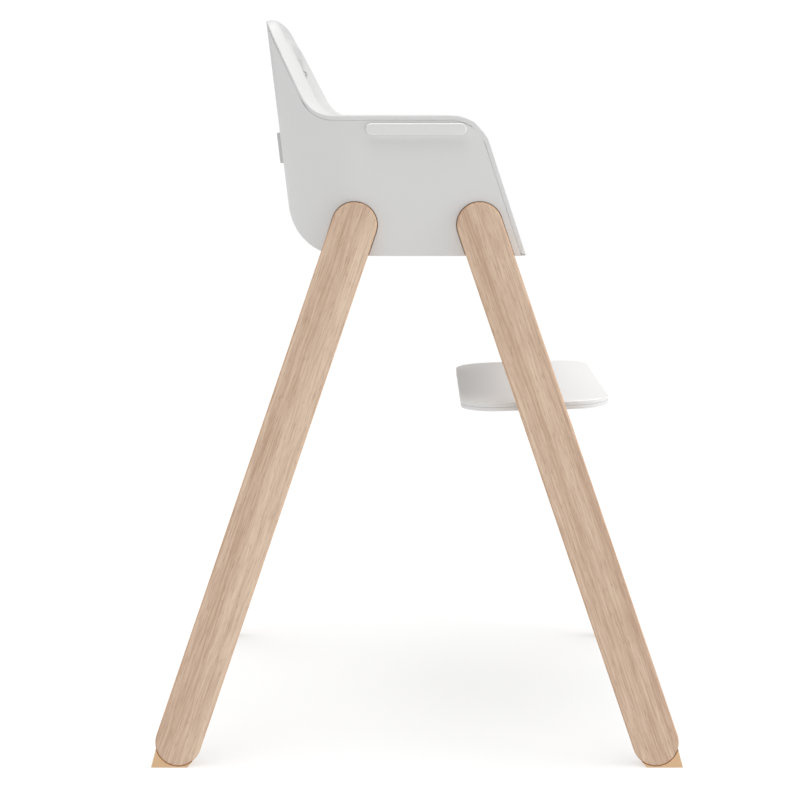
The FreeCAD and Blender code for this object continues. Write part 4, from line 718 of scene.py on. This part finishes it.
def plastic(name, tone, roughness, bump, mottle, grain=1600.0, specular=0.5):
    """Moulded plastic, made once for each name."""
    if name in MATERIALS:
        return MATERIALS[name]
    material, tree, shader = new_material(name)
    place = tree.nodes.new("ShaderNodeTexCoord")
    surface = add_node(tree, "ShaderNodeGroup", node_tree=shader_group("moulded"))
    surface.inputs["Colour"].default_value = rgba(tone)
    surface.inputs["Mottle"].default_value = mottle
    surface.inputs["Roughness"].default_value = roughness
    surface.inputs["Grain"].default_value = grain
    tree.links.new(place.outputs["Object"], surface.inputs["Vector"])
    tree.links.new(surface.outputs["Colour"], shader.inputs["Base Color"])
    tree.links.new(surface.outputs["Roughness"], shader.inputs["Roughness"])
    shader.inputs["Specular IOR Level"].default_value = specular
    bump_into(tree, shader, surface.outputs["Height"], bump, 0.0004)
    MATERIALS[name] = material
    return material


def metal(name, tone, roughness):
    material = plastic(name, tone, roughness, bump=0.08, mottle=0.08, grain=700.0)
    material.node_tree.nodes["Principled BSDF"].inputs["Metallic"].default_value = 1.0
    return material


def wood(name, turn, colours, seed):
    """Lacquered wood whose grain runs along a leg, turned to the leg's lean, with painted shade
    darkening and warming its narrow edges.
    """
    material, tree, shader = new_material(name)
    place = tree.nodes.new("ShaderNodeTexCoord")
    turned = add_node(tree, "ShaderNodeMapping", {"Rotation": turn})
    tree.links.new(place.outputs["Object"], turned.inputs["Vector"])
    grain = add_node(tree, "ShaderNodeGroup", node_tree=shader_group("wood"))
    tree.links.new(turned.outputs[0], grain.inputs["Vector"])
    grain.inputs["Light"].default_value = rgba(colours.wood_light)
    grain.inputs["Dark"].default_value = rgba(colours.wood_dark)
    grain.inputs["Seed"].default_value = seed
    normal = tree.nodes.new("ShaderNodeNewGeometry")
    edge = add_node(tree, "ShaderNodeGroup", node_tree=shader_group("edge"))
    tree.links.new(normal.outputs["Normal"], edge.inputs["Normal"])
    # Painted shade: the grain's colour is darkened and warmed where the edge mask finds the leg's
    # rounded narrow edges.
    shaded_edge_colour = mix_colour(tree, 1.0, grain.outputs["Colour"], rgba(colours.wood_edge_shade), "MULTIPLY")
    share = math_node(tree, "MULTIPLY", edge.outputs["Mask"], 0.8)
    toned = mix_colour(tree, share, grain.outputs["Colour"], shaded_edge_colour)
    tree.links.new(toned, shader.inputs["Base Color"])
    tree.links.new(grain.outputs["Roughness"], shader.inputs["Roughness"])
    shader.inputs["Coat Weight"].default_value = 0.12
    shader.inputs["Coat Roughness"].default_value = 0.35
    shader.inputs["Specular IOR Level"].default_value = 0.35
    bump_into(tree, shader, grain.outputs["Height"], 0.22, 0.0003)
    return material


def webbing(colours, sizes):
    if "webbing" in MATERIALS:
        return MATERIALS["webbing"]
    material, tree, shader = new_material("harness webbing")
    place = tree.nodes.new("ShaderNodeUVMap")
    weave = add_node(tree, "ShaderNodeGroup", node_tree=shader_group("weave"))
    tree.links.new(place.outputs[0], weave.inputs["Vector"])
    weave.inputs["Colour"].default_value = rgba(colours.webbing)
    weave.inputs["Pitch"].default_value = sizes.weave_pitch
    tree.links.new(weave.outputs["Colour"], shader.inputs["Base Color"])
    shader.inputs["Roughness"].default_value = 0.85
    shader.inputs["Sheen Weight"].default_value = 0.3
    bump_into(tree, shader, weave.outputs["Height"], 0.6, 0.0004)
    MATERIALS["webbing"] = material
    return material


# ---- operators ----------------------------------------------------------------------------------


def paint(material, *names):
    """Gives CAD nodes their finish."""
    for name in names:
        node = NODES[name]
        node.data.materials.clear()
        node.data.materials.append(material)


class ChairOperator:
    bl_options = {"REGISTER", "UNDO"}

    def execute(self, context):
        scene = context.scene
        self.build(scene.chair_seat, scene.chair_harness, scene.chair_colours)
        return {"FINISHED"}


class CHAIR_OT_liner(ChairOperator, bpy.types.Operator):
    """Lofts the moulded seat liner with its wide rolled rim."""

    bl_idname = "chair.liner"
    bl_label = "Seat liner"

    def build(self, seat, harness, colours):
        tub, rim = seat_half(seat)
        sheets = []
        for rows in (tub, rim, mirrored(tub), mirrored(rim)):
            sheets.append(grid_from_rows("liner_sheet", rows))
        liner = join(sheets, "liner")
        weld(liner)
        beside_buckle = Vector((0.03, 0.03, SEAT))
        face_outwards(liner, beside_buckle)
        apply_modifier(liner, "SOLIDIFY", thickness=seat.skin, offset=-1.0)
        subdivide(liner, 2)
        self.cut_slots(liner, harness)
        smooth(liner, 40.0)
        finish_piece(liner, "chair", seat_plastic(colours), ["seat_liner"])

    def cut_slots(self, liner, harness):
        """Opens the strap slots in the back and the floor."""
        half = harness.webbing_width / 2 + SLOT_GAP
        thick = harness.webbing_thickness / 2 + SLOT_GAP
        places = []
        for side in SIDES.values():
            back = (back_x(SLOT_HEIGHT), side * SHOULDER_Y, SLOT_HEIGHT)
            places.append((back, (BACK_SLOT_REACH, half, thick)))
            places.append(((BUCKLE_X, side * LAP_Y, SEAT), (half, thick, SEAT_SLOT_REACH)))
        places.append(((CROTCH_X, 0.0, SEAT), (thick, half, SEAT_SLOT_REACH)))
        for centre, halves in places:
            deselect_all()
            bpy.ops.mesh.primitive_cube_add(size=2.0, location=centre, scale=halves)
            cutter = bpy.context.object
            clear_place(cutter)
            apply_modifier(liner, "BOOLEAN", operation="DIFFERENCE", object=cutter, solver="EXACT")
            bpy.data.objects.remove(cutter)


def seat_plastic(colours):
    return plastic("seat plastic", colours.seat, roughness=0.42, bump=0.04, mottle=0.015)


class CHAIR_OT_shell(ChairOperator, bpy.types.Operator):
    """Gives the outer shell its moulded surface."""

    bl_idname = "chair.shell"
    bl_label = "Outer shell"

    def build(self, seat, harness, colours):
        paint(seat_plastic(colours), "outer_shell")


class CHAIR_OT_rails(ChairOperator, bpy.types.Operator):
    """Gives the tray rails their surface."""

    bl_idname = "chair.rails"
    bl_label = "Tray rails"

    def build(self, seat, harness, colours):
        rail = plastic("rail plastic", colours.rail, roughness=0.34, bump=0.03, mottle=0.01)
        paint(rail, "tray_rail_left", "tray_rail_right")


# The middle of a leg at its foot and near its top, forwards and upwards, and its sideways lean.
LEG_FOOT, LEG_TOP, LEG_SPLAY = (0.292, 0.0295), (0.0775, 0.657), math.radians(8.3)


class CHAIR_OT_legs(ChairOperator, bpy.types.Operator):
    """Gives the four legs wood grain that runs along them, with painted shade on their narrow
    edges.
    """

    bl_idname = "chair.legs"
    bl_label = "Wooden legs"

    def build(self, seat, harness, colours):
        rise, run = LEG_TOP[1] - LEG_FOOT[1], LEG_FOOT[0] - LEG_TOP[0]
        lean = math.atan(run / rise * math.cos(LEG_SPLAY))
        for end_name, end in ENDS.items():
            for side_name, side in SIDES.items():
                turn = (-side * LEG_SPLAY, end * lean - math.pi / 2, 0.0)
                name = f"leg_{end_name}_{side_name}"
                seed = 3.7 * end + 1.3 * side + 11.0
                paint(wood(f"wood {end_name} {side_name}", turn, colours, seed), name)


class CHAIR_OT_feet(ChairOperator, bpy.types.Operator):
    """Gives the feet their plastic."""

    bl_idname = "chair.feet"
    bl_label = "Feet"

    def build(self, seat, harness, colours):
        look = {"roughness": 0.55, "bump": 0.12, "mottle": 0.06, "specular": 0.35}
        feet = plastic("foot plastic", colours.feet, **look)
        paint(feet, *[f"foot_{end}_{side}" for end in ENDS for side in SIDES])


class CHAIR_OT_footrest(ChairOperator, bpy.types.Operator):
    """Gives the footrest, its tracks and its levers their surfaces."""

    bl_idname = "chair.footrest"
    bl_label = "Footrest"

    def build(self, seat, harness, colours):
        look = {"roughness": 0.46, "bump": 0.06, "mottle": 0.02}
        top = plastic("footrest plastic", colours.footrest, **look)
        paint(top, "footrest_cover", "footrest_plate")
        grey = plastic("grey plastic", colours.grey, roughness=0.5, bump=0.1, mottle=0.04)
        for side in SIDES:
            paint(grey, f"footrest_track_{side}", f"footrest_shoe_{side}", f"footrest_lever_{side}")


class CHAIR_OT_hardware(ChairOperator, bpy.types.Operator):
    """Gives screws, bolts, plates and bars their metal."""

    bl_idname = "chair.hardware"
    bl_label = "Hardware"

    def build(self, seat, harness, colours):
        zinc = metal("zinc steel", colours.zinc, roughness=0.34)
        paint(zinc, "leg_bolts", "leg_washers", "leg_inserts", "rail_screws", "track_screws")
        paint(zinc, "footrest_screws", "shoe_screws", "lever_pins", "liner_screws")
        paint(zinc, "anchor_screws", "buckle_spring")
        look = {"roughness": 0.5, "bump": 0.2, "mottle": 0.1}
        coated = plastic("coated steel", colours.coated, **look)
        paint(coated, "side_plate_left", "side_plate_right", "cross_bar_front", "cross_bar_rear")
        paint(coated, "harness_bar")


def smooth_line(points, steps=8):
    """A curve through points, by Catmull and Rom's rule, with so many steps between each two."""
    line = []
    padded = [points[0] * 2 - points[1], *points, points[-1] * 2 - points[-2]]
    for before, first, second, after in zip(padded, padded[1:], padded[2:], padded[3:]):
        for step in range(steps):
            t = step / steps
            line.append(
                0.5
                * (
                    2 * first
                    + (second - before) * t
                    + (2 * before - 5 * first + 4 * second - after) * t**2
                    + (3 * first - before - 3 * second + after) * t**3
                )
            )
    line.append(points[-1].copy())
    return line


# The upper half of a strap's outline, as shares of its half width and half thickness.
STRAP_UPPER = [(-1, 0), (-0.97, 0.8), (-0.9, 1), (-0.45, 1)]
STRAP_UPPER += [(0, 1), (0.45, 1), (0.9, 1), (0.97, 0.8)]


def make_strap(name, points, across, sizes):
    """A flat strap along a line, with rounded selvedges and a map for its weave."""
    line = smooth_line(points)
    half, thick = sizes.webbing_width / 2, sizes.webbing_thickness / 2
    outline = STRAP_UPPER + [(-u, -v) for u, v in STRAP_UPPER]
    rings = []
    travelled = [0.0]
    for i, centre in enumerate(line):
        ahead = line[min(i + 1, len(line) - 1)]
        behind = line[max(i - 1, 0)]
        along = (ahead - behind).normalized()
        width = (across - along * across.dot(along)).normalized()
        normal = along.cross(width)
        rings.append([centre + width * half * u + normal * thick * v for u, v in outline])
        if i:
            travelled.append(travelled[-1] + (centre - line[i - 1]).length)
    mesh = bpy.data.meshes.new(name)
    strap = bpy.data.objects.new(name, mesh)
    bpy.context.collection.objects.link(strap)
    shape = bmesh.new()
    layer = shape.loops.layers.uv.new("weave")
    rows = [[shape.verts.new(point) for point in ring] for ring in rings]
    count = len(outline)
    for i in range(len(rows) - 1):
        for j in range(count):
            k = (j + 1) % count
            face = shape.faces.new((rows[i][j], rows[i][k], rows[i + 1][k], rows[i + 1][j]))
            places = ((i, j), (i, k), (i + 1, k), (i + 1, j))
            for loop, (row, column) in zip(face.loops, places):
                loop[layer].uv = (outline[column][0] * half, travelled[row])
    for row in (rows[0], rows[-1]):
        shape.faces.new(row)
    bmesh.ops.recalc_face_normals(shape, faces=shape.faces)
    shape.to_mesh(mesh)
    shape.free()
    smooth(strap, 50.0)
    return strap


class CHAIR_OT_straps(ChairOperator, bpy.types.Operator):
    """Weaves the five harness straps."""

    bl_idname = "chair.straps"
    bl_label = "Harness straps"

    def build(self, seat, harness, colours):
        cloth = webbing(colours, harness)
        for side_name, side in SIDES.items():
            name = f"shoulder_strap_{side_name}"
            strap = make_strap(f"{name}_webbing", self.shoulder(side), Vector((0, 1, 0)), harness)
            finish_piece(strap, "chair", cloth, [name])
            name = f"lap_strap_{side_name}"
            strap = make_strap(f"{name}_webbing", self.lap(side), Vector((1, 0, 0)), harness)
            finish_piece(strap, "chair", cloth, [name])
        strap = make_strap("crotch_strap_webbing", self.crotch(), Vector((0, 1, 0)), harness)
        finish_piece(strap, "chair", cloth, ["crotch_strap"])

    def shoulder(self, side):
        """From the bar behind the back, through the slot, down the back and over to the buckle."""
        y = side * SHOULDER_Y
        slot_x = back_x(SLOT_HEIGHT)
        cavity = slot_x - CAVITY
        return [
            Vector((BAR_X, y, BAR_LOW)),
            Vector((BAR_X, y, BAR_HIGH)),
            Vector((cavity, y, SLOT_HEIGHT - 0.008)),
            Vector((cavity + 0.005, y, SLOT_HEIGHT)),
            Vector((slot_x + BACK_LIFT, y, SLOT_HEIGHT)),
            Vector((slot_x + BACK_LIFT + 0.0026, y, SLOT_HEIGHT - 0.0035)),
            Vector((back_x(SLOT_HEIGHT - 0.016, BACK_LIFT), y, SLOT_HEIGHT - 0.016)),
            Vector((back_x(0.765, BACK_LIFT), y, 0.765)),
            Vector((back_x(0.700, BACK_LIFT), y, 0.700)),
            Vector((back_x(0.682, BACK_LIFT + 0.0015), y * 0.98, 0.682)),
            Vector((back_x(0.664) + 0.013, y * 0.94, 0.664)),
            Vector((-0.110, y * 0.88, 0.6544)),
            Vector((-0.092, y * 0.82, SEAT + 0.0022)),
            Vector((-0.0198, side * 0.038, SEAT + 0.0036)),
        ]

    def lap(self, side):
        """Up through the seat's floor and over to the buckle."""
        y = side * LAP_Y
        return [
            Vector((BUCKLE_X, y, SEAT - STRAP_START)),
            Vector((BUCKLE_X, y, SEAT + 0.0004)),
            Vector((BUCKLE_X, y - side * 0.0022, SEAT + 0.0032)),
            Vector((BUCKLE_X, y - side * 0.014, SEAT + 0.0020)),
            Vector((BUCKLE_X, side * 0.0528, SEAT + 0.0036)),
        ]

    def crotch(self):
        """Up through the seat's floor and back to the buckle."""
        x = CROTCH_X
        return [
            Vector((x, 0, SEAT - STRAP_START)),
            Vector((x, 0, SEAT + 0.0004)),
            Vector((x - 0.0024, 0, SEAT + 0.0030)),
            Vector((x - 0.012, 0, SEAT + 0.0026)),
            Vector((BUCKLE_X + 0.0236, 0, SEAT + 0.0040)),
        ]


class CHAIR_OT_harness_plastic(ChairOperator, bpy.types.Operator):
    """Gives the buckle, its tongues, the sliders and the panel their surfaces."""

    bl_idname = "chair.harness_plastic"
    bl_label = "Buckle and sliders"

    def build(self, seat, harness, colours):
        look = {"roughness": 0.48, "bump": 0.12, "mottle": 0.05}
        dark = plastic("buckle plastic", colours.buckle, **look)
        paint(dark, "buckle_body", "buckle_cover", "buckle_tongue_left", "buckle_tongue_right")
        paint(dark, "strap_slider_left", "strap_slider_right")
        look = {"roughness": 0.42, "bump": 0.06, "mottle": 0.04}
        button = plastic("button plastic", colours.button, **look)
        paint(button, "buckle_button")
        look = {"roughness": 0.5, "bump": 0.08, "mottle": 0.03}
        grey = plastic("pale grey plastic", colours.panel, **look)
        paint(grey, "harness_slot_plate", "harness_anchor")


class CHAIR_OT_stage(ChairOperator, bpy.types.Operator):
    """Lays the floor, hangs the lights and places the camera."""

    bl_idname = "chair.stage"
    bl_label = "Stage"

    def build(self, seat, harness, colours):
        self.floor()
        self.sky()
        self.sun("overhead", tilt=(4.0, -3.0), spread=58.0, power=2.6)
        place, target = (2.8, -0.3, 1.5), (-0.05, 0.0, 0.75)
        self.softbox("front softbox", place, target, size=2.0, power=34.0)
        self.camera()

    def floor(self):
        deselect_all()
        bpy.ops.mesh.primitive_circle_add(vertices=96, radius=30.0, fill_type="NGON")
        ground = bpy.context.object
        ground.name = "floor"
        ground.location.z = -0.0002
        clear_place(ground)
        material, tree, shader = new_material("floor paper")
        place = tree.nodes.new("ShaderNodeTexCoord")
        noise = add_node(tree, "ShaderNodeTexNoise", {"Scale": 3.0})
        tree.links.new(place.outputs["Object"], noise.inputs["Vector"])
        tone = mix_colour(tree, noise.outputs[0], (0.35, 0.35, 0.35, 1.0), (0.37, 0.37, 0.37, 1.0))
        tree.links.new(tone, shader.inputs["Base Color"])
        shader.inputs["Emission Color"].default_value = (1.0, 1.0, 1.0, 1.0)
        shader.inputs["Emission Strength"].default_value = 0.62
        shader.inputs["Roughness"].default_value = 0.9
        shader.inputs["Specular IOR Level"].default_value = 0.1
        ground.data.materials.append(material)

    def sky(self):
        world = bpy.data.worlds.new("studio")
        bpy.context.scene.world = world
        world.use_nodes = True
        tree = world.node_tree
        tree.nodes.clear()
        soft = add_node(tree, "ShaderNodeBackground", {"Color": (1, 1, 1, 1), "Strength": 0.27})
        seen = add_node(tree, "ShaderNodeBackground", {"Color": (1, 1, 1, 1), "Strength": 1.05})
        path = tree.nodes.new("ShaderNodeLightPath")
        both = tree.nodes.new("ShaderNodeMixShader")
        tree.links.new(path.outputs["Is Camera Ray"], both.inputs[0])
        tree.links.new(soft.outputs[0], both.inputs[1])
        tree.links.new(seen.outputs[0], both.inputs[2])
        result = tree.nodes.new("ShaderNodeOutputWorld")
        tree.links.new(both.outputs[0], result.inputs[0])

    def sun(self, name, tilt, spread, power):
        """A broad even light from overhead, tilted by two angles in degrees."""
        lamp = bpy.data.lights.new(name, "SUN")
        lamp.angle = math.radians(spread)
        lamp.energy = power
        holder = bpy.data.objects.new(name, lamp)
        holder.rotation_euler = (math.radians(tilt[0]), math.radians(tilt[1]), 0.0)
        holder.location = (0.0, 0.0, 3.0)
        bpy.context.collection.objects.link(holder)

    def softbox(self, name, place, target, size, power):
        """A square light aimed at a point."""
        lamp = bpy.data.lights.new(name, "AREA")
        lamp.shape = "SQUARE"
        lamp.size = size
        lamp.energy = power
        holder = bpy.data.objects.new(name, lamp)
        holder.location = place
        aim = Vector(target) - Vector(place)
        holder.rotation_euler = aim.to_track_quat("-Z", "Y").to_euler()
        bpy.context.collection.objects.link(holder)

    def camera(self):
        eye = bpy.data.cameras.new("camera")
        eye.lens = 80.0
        eye.sensor_width = 36.0
        eye.shift_x = -0.02125
        eye.shift_y = -0.10
        eye.clip_end = 100.0
        holder = bpy.data.objects.new("camera", eye)
        holder.location = (0.0, -2.3772, 0.7956)
        holder.rotation_euler = (math.radians(90.0 - 6.67), 0.0, 0.0)
        bpy.context.collection.objects.link(holder)
        bpy.context.scene.camera = holder
        bpy.context.scene.view_settings.view_transform = "Standard"


class CHAIR_PT_panel(bpy.types.Panel):
    """Lists the chair's steps and sizes in the sidebar."""

    bl_label = "High Chair"
    bl_idname = "CHAIR_PT_panel"
    bl_space_type = "VIEW_3D"
    bl_region_type = "UI"
    bl_category = "High Chair"

    def draw(self, context):
        for step in STEPS:
            self.layout.operator(step.bl_idname)
        for sizes in GROUPS_OF_SIZES:
            group = getattr(context.scene, sizes)
            box = self.layout.box()
            for name in group.bl_rna.properties.keys():
                if name not in {"rna_type", "name"}:
                    box.prop(group, name)


STEPS = (
    CHAIR_OT_stage,
    CHAIR_OT_shell,
    CHAIR_OT_liner,
    CHAIR_OT_rails,
    CHAIR_OT_legs,
    CHAIR_OT_feet,
    CHAIR_OT_footrest,
    CHAIR_OT_hardware,
    CHAIR_OT_straps,
    CHAIR_OT_harness_plastic,
)
GROUPS_OF_SIZES = {
    "chair_seat": SeatSizes,
    "chair_harness": HarnessSizes,
    "chair_colours": ChairColours,
}


def register():
    for cls in (*GROUPS_OF_SIZES.values(), *STEPS, CHAIR_PT_panel):
        bpy.utils.register_class(cls)
    for name, cls in GROUPS_OF_SIZES.items():
        setattr(bpy.types.Scene, name, bpy.props.PointerProperty(type=cls))


def unregister():
    for name in GROUPS_OF_SIZES:
        delattr(bpy.types.Scene, name)
    for cls in reversed((*GROUPS_OF_SIZES.values(), *STEPS, CHAIR_PT_panel)):
        bpy.utils.unregister_class(cls)


def main():
    register()
    for step in STEPS:
        getattr(bpy.ops.chair, step.bl_idname.split(".")[1])()


if __name__ == "__main__":
    main()
